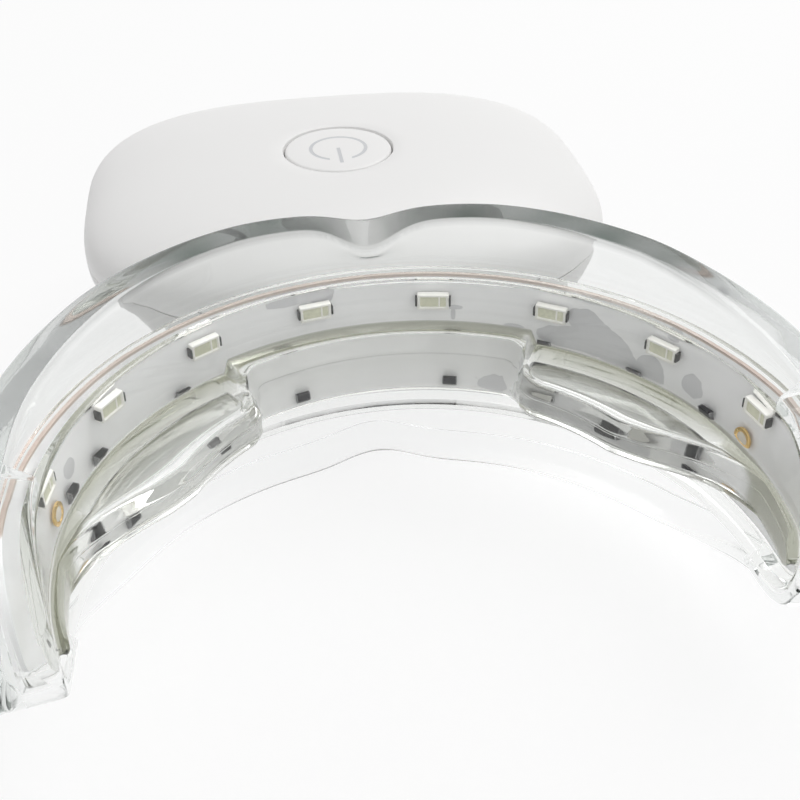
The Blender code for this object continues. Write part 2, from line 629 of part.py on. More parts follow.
def make_lower_shell(look, neck):
    seam = HOUSING_UP - SEAM_GAP / 2
    base = HOUSING_HEIGHT / 2 - HOUSING_BASE_FLAT
    lip_top = HOUSING_UP + LIP_RISE
    lip_out = SKIRT_WALL + SEAT_GAP
    rings = [surface_ring(share_at(base, 0) * 0.999, 0, -1, limit=base)]
    rings += [surface_ring(share, 0, -1, limit=base) for share in OUTER_RING_SHARES[:0:-1]]
    rings.append(rim_ring(0, seam))
    rings.append(rim_ring(lip_out, seam))
    rings.append(rim_ring(lip_out, lip_top))
    rings.append(rim_ring(lip_out + LIP_WALL, lip_top))
    rings.append(rim_ring(lip_out + LIP_WALL, seam))
    rings += [surface_ring(share, SHELL_WALL, -1, limit=base - SHELL_WALL)
              for share in INNER_RING_SHARES]
    floor_share = share_at(base - SHELL_WALL, SHELL_WALL) * 0.999
    rings.append(surface_ring(floor_share, SHELL_WALL, -1, limit=base - SHELL_WALL))
    shell = add_object("lower_shell", lofted_mesh("lower_shell", rings), look, 40)
    boolean(shell, neck)
    mouth = socket_rings(SEAT_GAP, SOCKET_REAR - SEAT_GAP, HOUSING_FAR + CUT_OVERRUN)
    boolean(shell, add_object("socket_opening", lofted_mesh("socket_opening", mouth), None))
    for number, (sx, sy) in enumerate(((1, 1), (-1, 1), (-1, -1), (1, -1))):
        x = sx * (BOARD_WIDTH / 2 - BOSS_FROM_SIDE)
        y = BOARD_Y + sy * (BOARD_DEPTH / 2 - BOSS_FROM_END)
        inward = np.array([x - sx * BOSS_RADIUS, y - sy * BOSS_RADIUS])
        foot = HOUSING_UP - float(dome(inward, SHELL_WALL)) - SEAT_GAP
        profile = [(foot, BOSS_RADIUS), (BOARD_UP - SEAT_GAP, BOSS_RADIUS)]
        boss = add_object(f"board_boss_{number}", turned_mesh("boss", profile, 16), None)
        boss.location = (x, y, 0)
        boolean(shell, boss, "UNION")


def make_gasket(look, neck):
    low = HOUSING_UP + LIP_RISE + SEAT_GAP
    inset = SKIRT_WALL + SEAT_GAP
    rings = [rim_ring(inset, low), rim_ring(inset, low + GASKET_THICKNESS),
             rim_ring(inset + GASKET_WIDTH, low + GASKET_THICKNESS),
             rim_ring(inset + GASKET_WIDTH, low)]
    gasket = add_object("housing_gasket", lofted_mesh("housing_gasket", rings, True), look, 40)
    boolean(gasket, neck)


# Button and switch

def button_foot():
    far_edge = np.array([0.0, BUTTON_Y + BUTTON_HOLE_RADIUS + BUTTON_FLANGE_OVERLAP])
    flange_top = HOUSING_UP + float(dome(far_edge, SHELL_WALL)) - SEAT_GAP
    return flange_top - BUTTON_FLANGE_THICKNESS - BUTTON_BOSS_DROP


def plunger_top():
    return button_foot() - SEAT_GAP


def make_button(look):
    """The cap lies level with the shell; its flange stays under the edge of the hole."""
    centre = np.array([0.0, BUTTON_Y])
    radius = BUTTON_HOLE_RADIUS - BUTTON_CLEARANCE
    top = HOUSING_UP + float(dome(centre, 0))
    flange = BUTTON_HOLE_RADIUS + BUTTON_FLANGE_OVERLAP
    flange_low = button_foot() + BUTTON_BOSS_DROP
    flange_top = flange_low + BUTTON_FLANGE_THICKNESS
    profile = [(button_foot(), BUTTON_BOSS_RADIUS), (flange_low, BUTTON_BOSS_RADIUS),
               (flange_low, flange), (flange_top, flange), (flange_top, radius),
               (top - BUTTON_CROWN - BUTTON_EDGE, radius), (top - BUTTON_CROWN, radius - BUTTON_EDGE),
               (top - BUTTON_CROWN / 4, radius / 2)]
    button = add_object("power_button", turned_mesh("power_button", profile, TURNED_POINTS), look, 40)
    button.location = (0, BUTTON_Y, 0)


def make_switch(body_look, plunger_look):
    top = plunger_top() - PLUNGER_STANDS
    height = top - PART_SEAT
    mesh = box_mesh("switch_body", (SWITCH_SIDE, SWITCH_SIDE, height), SWITCH_CORNER)
    body = add_object("switch_body", mesh, body_look)
    body.location = (0, BUTTON_Y, PART_SEAT)
    floor = top - SWITCH_WELL_SHARE * height
    well_profile = [(floor, PLUNGER_RADIUS + SEAT_GAP), (top + CUT_OVERRUN, PLUNGER_RADIUS + SEAT_GAP)]
    well = add_object("switch_well", turned_mesh("switch_well", well_profile, TURNED_POINTS // 2), None)
    well.location = (0, BUTTON_Y, 0)
    boolean(body, well)
    profile = [(floor + SEAT_GAP + BUTTON_TRAVEL, PLUNGER_RADIUS), (plunger_top(), PLUNGER_RADIUS)]
    mesh = turned_mesh("switch_plunger", profile, TURNED_POINTS // 2)
    plunger = add_object("switch_plunger", mesh, plunger_look)
    plunger.location = (0, BUTTON_Y, 0)


# Board, battery and socket

def make_board(look):
    ring = plan_ring(BOARD_WIDTH / 2, BOARD_DEPTH / 2) + [0, BOARD_Y - HOUSING_MIDDLE_Y]
    rings = [level_ring(ring, BOARD_UP), level_ring(ring, BOARD_TOP)]
    add_object("main_board", lofted_mesh("main_board", rings), look)


def make_board_parts(chip_look, inductor_look, connector_look):
    for name, size, offset, look in (
            ("controller_chip", CHIP_SIZE, CHIP_OFFSET, chip_look),
            ("charger_chip", CHARGER_SIZE, CHARGER_OFFSET, chip_look),
            ("power_inductor", INDUCTOR_SIZE, INDUCTOR_OFFSET, inductor_look)):
        part = add_object(name, box_mesh(name, size, PART_EDGE), look)
        part.location = (offset[0], BOARD_Y + offset[1], PART_SEAT)
    part = add_object("strip_connector", box_mesh("strip_connector", CONNECTOR_SIZE, PART_EDGE),
                      connector_look)
    mouth = BOARD_NEAR + PART_EDGE + SEAT_GAP
    part.location = (0, mouth + CONNECTOR_SIZE[1] / 2, PART_SEAT)


def make_battery(cell_look, pad_look):
    floor = HOUSING_UP - HOUSING_HEIGHT / 2 + HOUSING_BASE_FLAT + SHELL_WALL
    pad_foot = floor + SEAT_GAP
    cell_foot = pad_foot + BATTERY_PAD_THICKNESS + SEAT_GAP
    near = HOUSING_NEAR + BATTERY_NEAR_MARGIN
    width = HOUSING_WIDTH - 2 * BATTERY_SIDE_MARGIN
    depth = SOCKET_REAR - BATTERY_SOCKET_GAP - near
    height = BOARD_UP - BATTERY_CLEARANCE - cell_foot
    pad_size = (width * BATTERY_PAD_SHARES[0], depth * BATTERY_PAD_SHARES[1], BATTERY_PAD_THICKNESS)
    pad = add_object("battery_pad", box_mesh("battery_pad", pad_size, BATTERY_PAD_THICKNESS / 5),
                     pad_look)
    pad.location = (0, near + depth / 2, pad_foot)
    cell = add_object("battery_cell", box_mesh("battery_cell", (width, depth, height), BATTERY_EDGE),
                      cell_look)
    cell.location = (0, near + depth / 2, cell_foot)


def socket_rings(grow, start, end):
    height = SOCKET_HEIGHT + 2 * grow
    return rounded_box_rings(SOCKET_WIDTH + 2 * grow, height, height / 2, start, end,
                             SOCKET_MIDDLE_UP)


def make_socket(look):
    body = socket_rings(0, SOCKET_REAR, SOCKET_FRONT)
    socket = add_object("charge_socket", lofted_mesh("charge_socket", body), look)
    cavity = socket_rings(-SOCKET_SHELL, SOCKET_REAR + SOCKET_BACK, SOCKET_FRONT + CUT_OVERRUN)
    boolean(socket, add_object("socket_cavity", lofted_mesh("socket_cavity", cavity), None))
    width, length, height = SOCKET_TONGUE_SIZE
    tongue = rounded_box_rings(width, height, height / 4, SOCKET_REAR + SOCKET_BACK / 2,
                               SOCKET_REAR + SOCKET_BACK + length, SOCKET_MIDDLE_UP)
    boolean(socket, add_object("socket_tongue", lofted_mesh("socket_tongue", tongue), None), "UNION")


def place_bite_frame(frame):
    """Stand the part on its lower rim, with its outline's middle over the world's origin."""
    near = float(GUARD_RINGS[..., 1].min())
    frame.location = (0, -(HOUSING_FAR + near) / 2, -float(GUARD_RINGS[..., 2].min()))


clear_scene()
BITE_FRAME = bpy.data.objects.new("bite_frame", None)
bpy.context.scene.collection.objects.link(BITE_FRAME)
ARCH = arch_table()
GUARD_RINGS = guard_rings()
place_bite_frame(BITE_FRAME)

clear_silicone = material("clear_silicone", (0.86, 0.89, 0.88), 0.08, alpha=0.35)
soft_silicone = material("soft_silicone", (0.88, 0.90, 0.89), 0.1, alpha=0.35)
white_shell = material("white_shell", (0.93, 0.93, 0.93), 0.35)
button_white = material("button_white", (0.91, 0.91, 0.91), 0.35)
strip_white = material("strip_white", (0.78, 0.78, 0.79), 0.45)
lamp_cream = material("lamp_cream", (0.86, 0.84, 0.68), 0.3)
resistor_black = material("resistor_black", (0.05, 0.05, 0.06), 0.4)
copper = material("copper", (0.80, 0.55, 0.22), 0.3, 1.0)
tail_white = material("tail_white", (0.80, 0.80, 0.80), 0.4)
board_green = material("board_green", (0.04, 0.22, 0.10), 0.5)
chip_black = material("chip_black", (0.03, 0.03, 0.03), 0.45)
inductor_grey = material("inductor_grey", (0.16, 0.16, 0.17), 0.6)
connector_cream = material("connector_cream", (0.85, 0.82, 0.72), 0.5)
cell_silver = material("cell_silver", (0.70, 0.71, 0.73), 0.35, 0.6)
foam_grey = material("foam_grey", (0.25, 0.25, 0.26), 0.9)
gasket_grey = material("gasket_grey", (0.55, 0.56, 0.57), 0.6)
socket_steel = material("socket_steel", (0.66, 0.66, 0.68), 0.25, 1.0)
switch_black = material("switch_black", (0.04, 0.04, 0.045), 0.5)
plunger_cream = material("plunger_cream", (0.82, 0.80, 0.74), 0.5)

make_guard(clear_silicone)
make_tray(soft_silicone)
make_strip(strip_white)
make_tail(tail_white)
make_strip_parts(lamp_cream, resistor_black, copper)
neck_opening = neck_cutter()
make_upper_shell(white_shell, neck_opening)
make_lower_shell(white_shell, neck_opening)
make_gasket(gasket_grey, neck_opening)
make_button(button_white)
make_switch(switch_black, plunger_cream)
make_board(board_green)
make_board_parts(chip_black, inductor_grey, connector_cream)
make_battery(cell_silver, foam_grey)
make_socket(socket_steel)
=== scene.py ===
import math

import bmesh
import bpy
import numpy as np
from mathutils import Matrix, Vector


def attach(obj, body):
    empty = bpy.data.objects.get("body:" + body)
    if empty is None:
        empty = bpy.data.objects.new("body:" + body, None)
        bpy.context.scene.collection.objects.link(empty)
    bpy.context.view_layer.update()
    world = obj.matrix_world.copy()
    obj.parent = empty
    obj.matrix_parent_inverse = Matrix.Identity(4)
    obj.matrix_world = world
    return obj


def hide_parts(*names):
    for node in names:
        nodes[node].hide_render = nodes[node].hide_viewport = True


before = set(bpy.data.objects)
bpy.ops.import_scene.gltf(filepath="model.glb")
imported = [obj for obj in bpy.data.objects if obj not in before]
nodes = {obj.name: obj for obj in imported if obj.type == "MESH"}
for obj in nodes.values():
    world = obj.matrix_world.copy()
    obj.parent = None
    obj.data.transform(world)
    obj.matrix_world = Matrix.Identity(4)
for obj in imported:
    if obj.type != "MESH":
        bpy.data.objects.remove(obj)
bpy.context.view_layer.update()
print("frame loaded:", len(nodes), "nodes")

# Every shape below is worked out in the bite frame: X across, Y from the mouth to the housing,
# lamp faces at y = 0 in the middle of the arch, strip's middle at z = 0. This moves it into place.
biteShift = np.array([0.0, -0.00654, 0.0140])

archForm = {
    "radius": 0.02562,
    "straightensAt": 0.0587,
    "power": 8.05,
    "armRoundAt": 0.0395,
    "tableEnd": 0.056,
    "tableRows": 1401,
    "endSteps": 26,
}
creaseAngle = 38      # degrees; a steeper edge between faces is shown sharp


# shared shape helpers

def coords(*parts):
    # arrays or numbers, brought to one shape, become the last axis of one array
    return np.stack(np.broadcast_arrays(*parts), axis=-1)


def archTables():
    # the bend is exp(-(s / straightensAt) ^ power) / radius; summed along s it is the turn, and the
    # turn's cosine and sine summed are the curve
    form = archForm
    along = np.linspace(0, form["tableEnd"], form["tableRows"])
    bend = np.exp(-(along / form["straightensAt"]) ** form["power"]) / form["radius"]
    summed = lambda rate: np.concatenate([[0.0], np.cumsum((rate[1:] + rate[:-1]) / 2 * along[1])])
    turn = summed(bend)
    return along, summed(np.cos(turn)), -summed(np.sin(turn)), turn


archAlong, archAcross, archBack, archTurns = archTables()


def archPoint(along, out, up):
    # a point `along` the arch, `out` along its plan normal and `up`; the left arm mirrors the right
    side = np.where(along < 0, -1.0, 1.0)
    far = np.abs(along)
    turn = np.interp(far, archAlong, archTurns)
    x = side * (np.interp(far, archAlong, archAcross) + out * np.sin(turn))
    y = np.interp(far, archAlong, archBack) + out * np.cos(turn)
    return coords(x, y, up)


def archTurn(along):
    return math.copysign(float(np.interp(abs(along), archAlong, archTurns)), along)


def softTable(value, places, levels):
    # cubic through the table's rows; each slope is the harmonic mean of its neighbours, so it
    # never overshoots
    places, levels = np.asarray(places, float), np.asarray(levels, float)
    value = np.clip(value, places[0], places[-1])
    rates = np.diff(levels) / np.diff(places)
    product = np.clip(rates[:-1] * rates[1:], 0, None)
    total = np.where(product > 0, rates[:-1] + rates[1:], 1)
    slopes = np.concatenate([[0], 2 * product / total, rates[-1:]])
    row = np.clip(np.searchsorted(places, value, side="right") - 1, 0, len(places) - 2)
    width = places[row + 1] - places[row]
    u = (value - places[row]) / width
    return ((1 + 2 * u) * (1 - u) ** 2 * levels[row] + u * (1 - u) ** 2 * width * slopes[row]
            + u * u * (3 - 2 * u) * levels[row + 1] - u * u * (1 - u) * width * slopes[row + 1])


def smoothStep(value, start, length):
    u = np.clip((value - start) / length, 0, 1)
    return u * u * (3 - 2 * u)


def softLoop(corners, radii, steps):
    # each corner of a closed outline becomes a quadratic arc that starts and ends `radius` away
    # from it, but stays short of the middle of a side; corners are (corner, station, 2)
    corners, mostOfSide = np.asarray(corners), 0.48
    before, after = np.roll(corners, 1, axis=0) - corners, np.roll(corners, -1, axis=0) - corners
    lengthBefore = np.linalg.norm(before, axis=-1, keepdims=True) + 1e-12
    lengthAfter = np.linalg.norm(after, axis=-1, keepdims=True) + 1e-12
    radii = np.asarray(radii, float)[:, None, None]
    start = corners + before / lengthBefore * np.minimum(radii, lengthBefore * mostOfSide)
    end = corners + after / lengthAfter * np.minimum(radii, lengthAfter * mostOfSide)
    t = np.linspace(0, 1, steps)[None, :, None, None]
    arcs = (1 - t) ** 2 * start[:, None] + 2 * t * (1 - t) * corners[:, None] + t * t * end[:, None]
    return arcs.reshape(-1, *corners.shape[1:])


def putInScene(name, data):
    made = bpy.data.objects.new(name, data)
    bpy.context.scene.collection.objects.link(made)
    return made


def gridPiece(name, grid, loopRows=False, caps=True, uv=None, sharp=creaseAngle):
    # rows x columns of points become quads; each row is a ring, and a fan closes the first and last
    rows, columns = grid.shape[:2]
    index = np.arange(rows * columns).reshape(rows, columns)
    index = np.concatenate([index, index[:, :1]], axis=1)
    if loopRows:
        index = np.concatenate([index, index[:1]], axis=0)
    quads = np.stack([index[:-1, :-1], index[:-1, 1:], index[1:, 1:], index[1:, :-1]], axis=-1)
    faces = quads.reshape(-1, 4).tolist()
    points = grid.reshape(-1, 3)
    if caps and not loopRows:
        for row in (0, rows - 1):
            hub = len(points)
            points = np.concatenate([points, grid[row].mean(axis=0)[None]])
            ring = index[row]
            faces += [[int(a), int(b), hub] for a, b in zip(ring[:-1], ring[1:])]
    mesh = bpy.data.meshes.new(name)
    mesh.from_pydata((points + biteShift).tolist(), [], faces)
    if uv is not None:
        layer = mesh.uv_layers.new(name="along")
        corner = np.empty(len(mesh.loops), dtype=np.int64)
        mesh.loops.foreach_get("vertex_index", corner)
        flat = np.concatenate([uv.reshape(-1, 2), np.zeros((len(points) - rows * columns, 2))])
        layer.data.foreach_set("uv", flat[corner].astype(np.float32).ravel())
    piece = putInScene(name, mesh)
    faceOutward(piece, sharp)
    return piece


def faceOutward(piece, sharp):
    builder = bmesh.new()
    builder.from_mesh(piece.data)
    bmesh.ops.remove_doubles(builder, verts=builder.verts, dist=1e-7)
    bmesh.ops.dissolve_degenerate(builder, edges=builder.edges, dist=1e-8)
    bmesh.ops.recalc_face_normals(builder, faces=builder.faces)
    builder.to_mesh(piece.data)
    builder.free()
    piece.data.shade_smooth()
    piece.data.set_sharp_from_angle(angle=math.radians(sharp))


def carve(piece, cutters, sharp=creaseAngle):
    # cutters are (object, operation) pairs; the result replaces the piece's mesh
    for cutter, operation in cutters:
        step = piece.modifiers.new(cutter.name, "BOOLEAN")
        step.operation = operation
        step.solver = "EXACT"
        step.object = cutter
    depsgraph = bpy.context.evaluated_depsgraph_get()
    carved = bpy.data.meshes.new_from_object(piece.evaluated_get(depsgraph))
    piece.modifiers.clear()
    piece.data = carved
    for cutter, _ in cutters:
        bpy.data.objects.remove(cutter)
    faceOutward(piece, sharp)


def joinPieces(name, parts):
    # several closed bodies in one mesh, each keeping its own finish
    builder = bmesh.new()
    looks = []
    for part, look in parts:
        if look not in looks:
            looks.append(look)
        first = len(builder.faces)
        builder.from_mesh(part.data)
        builder.faces.ensure_lookup_table()
        for face in builder.faces[first:]:
            face.material_index = looks.index(look)
    mesh = bpy.data.meshes.new(name)
    builder.to_mesh(mesh)
    builder.free()
    for look in looks:
        mesh.materials.append(look)
    for part, _ in parts:
        bpy.data.objects.remove(part)
    return putInScene(name, mesh)


def fullTurn(count):
    return np.linspace(0, 2 * math.pi, count, endpoint=False)


def roundedRect(halfWidth, halfHeight, corner):
    # quarter arcs round the four corners, an equal number of points on each
    count = 32
    turn = (np.arange(count) + 0.5) * 2 * math.pi / count
    c, s = np.cos(turn), np.sin(turn)
    return coords(np.sign(c) * (halfWidth - corner) + corner * c,
                  np.sign(s) * (halfHeight - corner) + corner * s)


def wear(piece, look):
    piece.data.materials.clear()
    piece.data.materials.append(look)


def archRead(points):
    # the reverse of archPoint: nearest of every fourth place along the arch, and how far out it lies
    right = coords(archAcross, archBack)
    flat = coords(np.abs(points[:, 0]), points[:, 1])
    stride, batch = 4, 2000
    nearest = np.concatenate([((flat[i:i + batch, None] - right[None, ::stride]) ** 2).sum(-1).argmin(1)
                              for i in range(0, len(flat), batch)]) * stride
    turn = archTurns[nearest]
    out = ((flat - right[nearest]) * coords(np.sin(turn), np.cos(turn))).sum(-1)
    return np.sign(points[:, 0]) * archAlong[nearest], out


def placesOf(piece):
    flat = np.empty(len(piece.data.vertices) * 3)
    piece.data.vertices.foreach_get("co", flat)
    return flat.reshape(-1, 3) - biteShift


def mark(piece, name, amount):
    # writes one number per vertex for the finish to read
    layer = piece.data.attributes.new(name, "FLOAT", "POINT")
    layer.data.foreach_set("value", amount.astype(np.float32))


# finishes

def newLook(name):
    look = bpy.data.materials.new(name)
    look.use_nodes = True
    tree = look.node_tree
    return look, tree, tree.nodes["Principled BSDF"]


def setInputs(node, inputs):
    # a socket is linked; a number or a colour is set on the input itself
    for key, value in inputs.items():
        if isinstance(value, bpy.types.NodeSocket):
            node.id_data.links.new(value, node.inputs[key])
        else:
            node.inputs[key].default_value = value
    return node


def addNode(tree, kind, inputs=None, **values):
    made = tree.nodes.new(kind)
    for key, value in values.items():
        setattr(made, key, value)
    return setInputs(made, inputs or {})


# each of these puts its node into the tree of the socket that feeds it, which is the socket's id_data

def mathNode(operation, a, b=0.0):
    tree = (a if isinstance(a, bpy.types.NodeSocket) else b).id_data
    return addNode(tree, "ShaderNodeMath", {0: a, 1: b}, operation=operation).outputs[0]


def noiseAt(place, scale, detail, roughness=0.5, distortion=0.0):
    return addNode(place.id_data, "ShaderNodeTexNoise", {
        "Vector": place, "Scale": scale, "Detail": detail, "Roughness": roughness,
        "Distortion": distortion}).outputs["Fac"]


def remap(value, low, high, toLow, toHigh):
    return addNode(value.id_data, "ShaderNodeMapRange", {
        "Value": value, "From Min": low, "From Max": high, "To Min": toLow,
        "To Max": toHigh}).outputs["Result"]


def spread(noise, low, high, edge=0.3):
    # noise mostly lies between `edge` and 1 - `edge`; this spreads it from low to high
    return remap(noise, edge, 1 - edge, low, high)


def mixColour(factor, first, second):
    colours = {key: value if isinstance(value, bpy.types.NodeSocket) else (*value, 1.0)
               for key, value in ((6, first), (7, second))}
    return addNode(factor.id_data, "ShaderNodeMix", {0: factor, **colours}, data_type="RGBA").outputs[2]


def bumpOf(height, distance, strength):
    return addNode(height.id_data, "ShaderNodeBump", {
        "Height": height, "Distance": distance, "Strength": strength}).outputs["Normal"]


def objectPlace(tree):
    return addNode(tree, "ShaderNodeTexCoord").outputs["Object"]


siliconeFinish = {
    "tint": (0.985, 0.99, 0.985),
    "paintedShadeTint": (0.016, 0.026, 0.020),   # painted shade, worn where the attribute "tone" is 1
    "paintedBandTint": (0.30, 0.305, 0.235),    # painted refraction band, worn where its attribute is 1
    "faintIndex": 1.10,                  # reached where the attribute "faint" is 1
    "index": 1.41,
    "roughness": 0.015,
    "absorb": (0.850, 0.866, 0.856),
    "density": 80.0,
    "shadowTint": (0.965, 0.97, 0.968),
    "waviness": 0.00004,
    "waveScale": 160,
    "glossScale": 1500,
    "slant": (0.05, 0.33),               # from nearly square to the eye, to aslant
    "slantTone": (0.4, 1.0),             # how much of the painted shade shows there
}


def makeSilicone(name, values):
    # clear rubber: gloss over a refracting body that takes a little light along the ray's way
    look, tree, shader = newLook(name)
    place = objectPlace(tree)
    gloss = noiseAt(place, values["glossScale"], 3)
    waves = noiseAt(place, values["waveScale"], 2)
    tone, paintedBand, faint = (addNode(tree, "ShaderNodeAttribute", attribute_name=word).outputs["Fac"]
                         for word in ("tone", "paintedBand", "faint"))
    # painted shade: the marked dark tone shows more at a slant than square to the eye
    slant = addNode(tree, "ShaderNodeLayerWeight", {"Blend": 0.5}).outputs["Facing"]
    tone = mathNode("MULTIPLY", tone, remap(slant, *values["slant"], *values["slantTone"]))
    tint = mixColour(faint, values["tint"], (1, 1, 1))
    # painted refraction band where its attribute is marked
    tint = mixColour(paintedBand, tint, values["paintedBandTint"])
    # for the export, which drops a link here
    shader.inputs["IOR"].default_value = values["index"]      # a plain number on the socket, under the link set below
    setInputs(shader, {
        # painted shade where the attribute "tone" is marked
        "Base Color": mixColour(tone, tint, values["paintedShadeTint"]),
        "Roughness": spread(gloss, values["roughness"] * 0.6, values["roughness"] * 1.8),
        "Normal": bumpOf(waves, values["waviness"], 0.6),
        "Transmission Weight": 1.0,
        "IOR": remap(faint, 0, 1, values["index"], values["faintIndex"]),
    })
    inShadow = addNode(tree, "ShaderNodeLightPath").outputs["Is Shadow Ray"]
    clear = addNode(tree, "ShaderNodeBsdfTransparent", {"Color": (*values["shadowTint"], 1)})
    mix = addNode(tree, "ShaderNodeMixShader", {0: inShadow, 1: shader.outputs[0], 2: clear.outputs[0]})
    inside = addNode(tree, "ShaderNodeVolumeAbsorption",
                     {"Color": (*values["absorb"], 1), "Density": values["density"]})
    setInputs(tree.nodes["Material Output"],
              {"Surface": mix.outputs[0], "Volume": inside.outputs[0]})
    return look


clearSilicone = makeSilicone("clearSilicone", {**siliconeFinish, "tint": (0.93, 0.937, 0.932)})
softSilicone = makeSilicone("softSilicone", {**siliconeFinish, "density": 90.0,
                                             "absorb": (0.860, 0.868, 0.835)})


def makeSatin(name, colour, roughness, grain=900, depth=0.000012, drift=0.02):
    # moulded plastic: a faint grain in height and gloss, and a slow drift of tone
    look, tree, shader = newLook(name)
    place = objectPlace(tree)
    fine = noiseAt(place, grain, 4, 0.6)
    slow = noiseAt(place, 60, 2)
    low = tuple(max(c - drift, 0) for c in colour)
    setInputs(shader, {
        "Base Color": mixColour(spread(slow, 0, 1, 0.35), colour, low),
        "Roughness": spread(fine, roughness * 0.9, roughness * 1.12),
        "Normal": bumpOf(fine, depth, 0.5),
    })
    return look


shellColour = (0.905, 0.90, 0.892)
shellWhite = makeSatin("shellWhite", shellColour, 0.36, drift=0.008)
# painted shade: the lower shell wears a darker copy of the shell's white, for the shade on the
# housing's lower and near sides
shellLowerShaded = makeSatin("shellLowerShaded", (0.83, 0.825, 0.818), 0.36, drift=0.008)
fineGrain = (2500, 0.000004)
lampCase = makeSatin("lampCase", (0.90, 0.89, 0.85), 0.35, *fineGrain)
lampBar = makeSatin("lampBar", (0.94, 0.93, 0.88), 0.3, *fineGrain)
padCentre = makeSatin("padCentre", (0.80, 0.74, 0.66), 0.35, *fineGrain)
terminalBlack = makeSatin("terminalBlack", (0.05, 0.05, 0.05), 0.35, *fineGrain, 0.01)
resistorBlack = makeSatin("resistorBlack", (0.03, 0.03, 0.035), 0.4, *fineGrain, 0.01)


def makeMetal(name, colour, roughness):
    # bare metal whose colour and gloss vary a little in a fine grain
    look, tree, shader = newLook(name)
    fine = noiseAt(objectPlace(tree), 1800, 3)
    dull = tuple(c * 0.86 for c in colour)
    setInputs(shader, {
        "Base Color": mixColour(spread(fine, 0, 1, 0.35), colour, dull),
        "Roughness": spread(fine, roughness * 0.8, roughness * 1.3),
        "Metallic": 1.0,
    })
    return look


solderTin = makeMetal("solderTin", (0.30, 0.30, 0.31), 0.3)
goldPad = makeMetal("goldPad", (0.86, 0.60, 0.26), 0.28)


def makeLampWindow():
    # phosphor gel: yellow-olive, slightly mottled
    look, tree, shader = newLook("lampWindow")
    grains = noiseAt(objectPlace(tree), 4200, 3)
    setInputs(shader, {
        "Base Color": mixColour(spread(grains, 0, 1), (0.76, 0.76, 0.60), (0.64, 0.645, 0.50)),
        "Roughness": 0.22,
        "Coat Weight": 0.3,
    })
    return look


lampWindow = makeLampWindow()

stripFinish = {
    "pale": (0.90, 0.90, 0.905),
    "wet": (0.64, 0.64, 0.655),
    # along, up, half length, half height of each darker patch, in metres
    "patches": (
        (0.0178, 0.0034, 0.0017, 0.0011), (0.0190, 0.0020, 0.0026, 0.0019),
        (0.0165, 0.0014, 0.0028, 0.0012), (0.0208, 0.0004, 0.0019, 0.0014),
        (0.0236, 0.0011, 0.0012, 0.0014), (0.0252, 0.0049, 0.0006, 0.0004),
        (0.0275, 0.0014, 0.0011, 0.0010), (-0.0058, 0.0050, 0.0028, 0.0007),
        (-0.0044, 0.0048, 0.0012, 0.0008), (0.0118, 0.0013, 0.0010, 0.0006),
        (0.0066, 0.0022, 0.0002, 0.0008), (0.0067, 0.0029, 0.0007, 0.0002),
        (-0.0300, 0.0018, 0.0009, 0.0008), (0.0105, -0.0042, 0.0022, 0.0016),
    ),
    "ragged": 0.55,
    "edgeBrown": (0.50, 0.41, 0.36),
    "brownFrom": 0.00525,
    "brownFull": 0.00535,
}


def makeStripLook():
    # solder mask over copper; where the silicone lies on it the strip looks darker, in ragged patches
    finish = stripFinish
    look, tree, shader = newLook("stripMask")
    uv = addNode(tree, "ShaderNodeUVMap", uv_map="along").outputs[0]
    parts = addNode(tree, "ShaderNodeSeparateXYZ", {0: uv}).outputs

    def squared(place, middle, half):
        off = mathNode("MULTIPLY", mathNode("SUBTRACT", place, middle), 1 / half)
        return mathNode("POWER", mathNode("ABSOLUTE", off), 2.0)

    rag = spread(noiseAt(uv, 420, 2), -finish["ragged"], finish["ragged"])
    inside = None
    for along, up, halfLength, halfHeight in finish["patches"]:
        # an ellipse: the two squared shares of its halves sum to 1 on its outline
        far = mathNode("ADD", squared(parts[0], along, halfLength), squared(parts[1], up, halfHeight))
        hit = remap(mathNode("ADD", far, rag), 0.97, 1.03, 1.0, 0.0)
        inside = hit if inside is None else mathNode("MAXIMUM", inside, hit)
    pale = mixColour(spread(noiseAt(uv, 130, 3), 0, 1), finish["pale"],
                     tuple(c * 0.95 for c in finish["pale"]))
    face = mixColour(inside, pale, finish["wet"])
    brown = remap(parts[1], finish["brownFrom"], finish["brownFull"], 0, 1)
    setInputs(shader, {
        "Base Color": mixColour(brown, face, finish["edgeBrown"]),
        "Roughness": remap(inside, 0, 1, 0.42, 0.3),
        "Normal": bumpOf(noiseAt(uv, 2200, 2), 0.000006, 0.4),
    })
    return look


stripMask = makeStripLook()
print("finishes made")

# outer guard

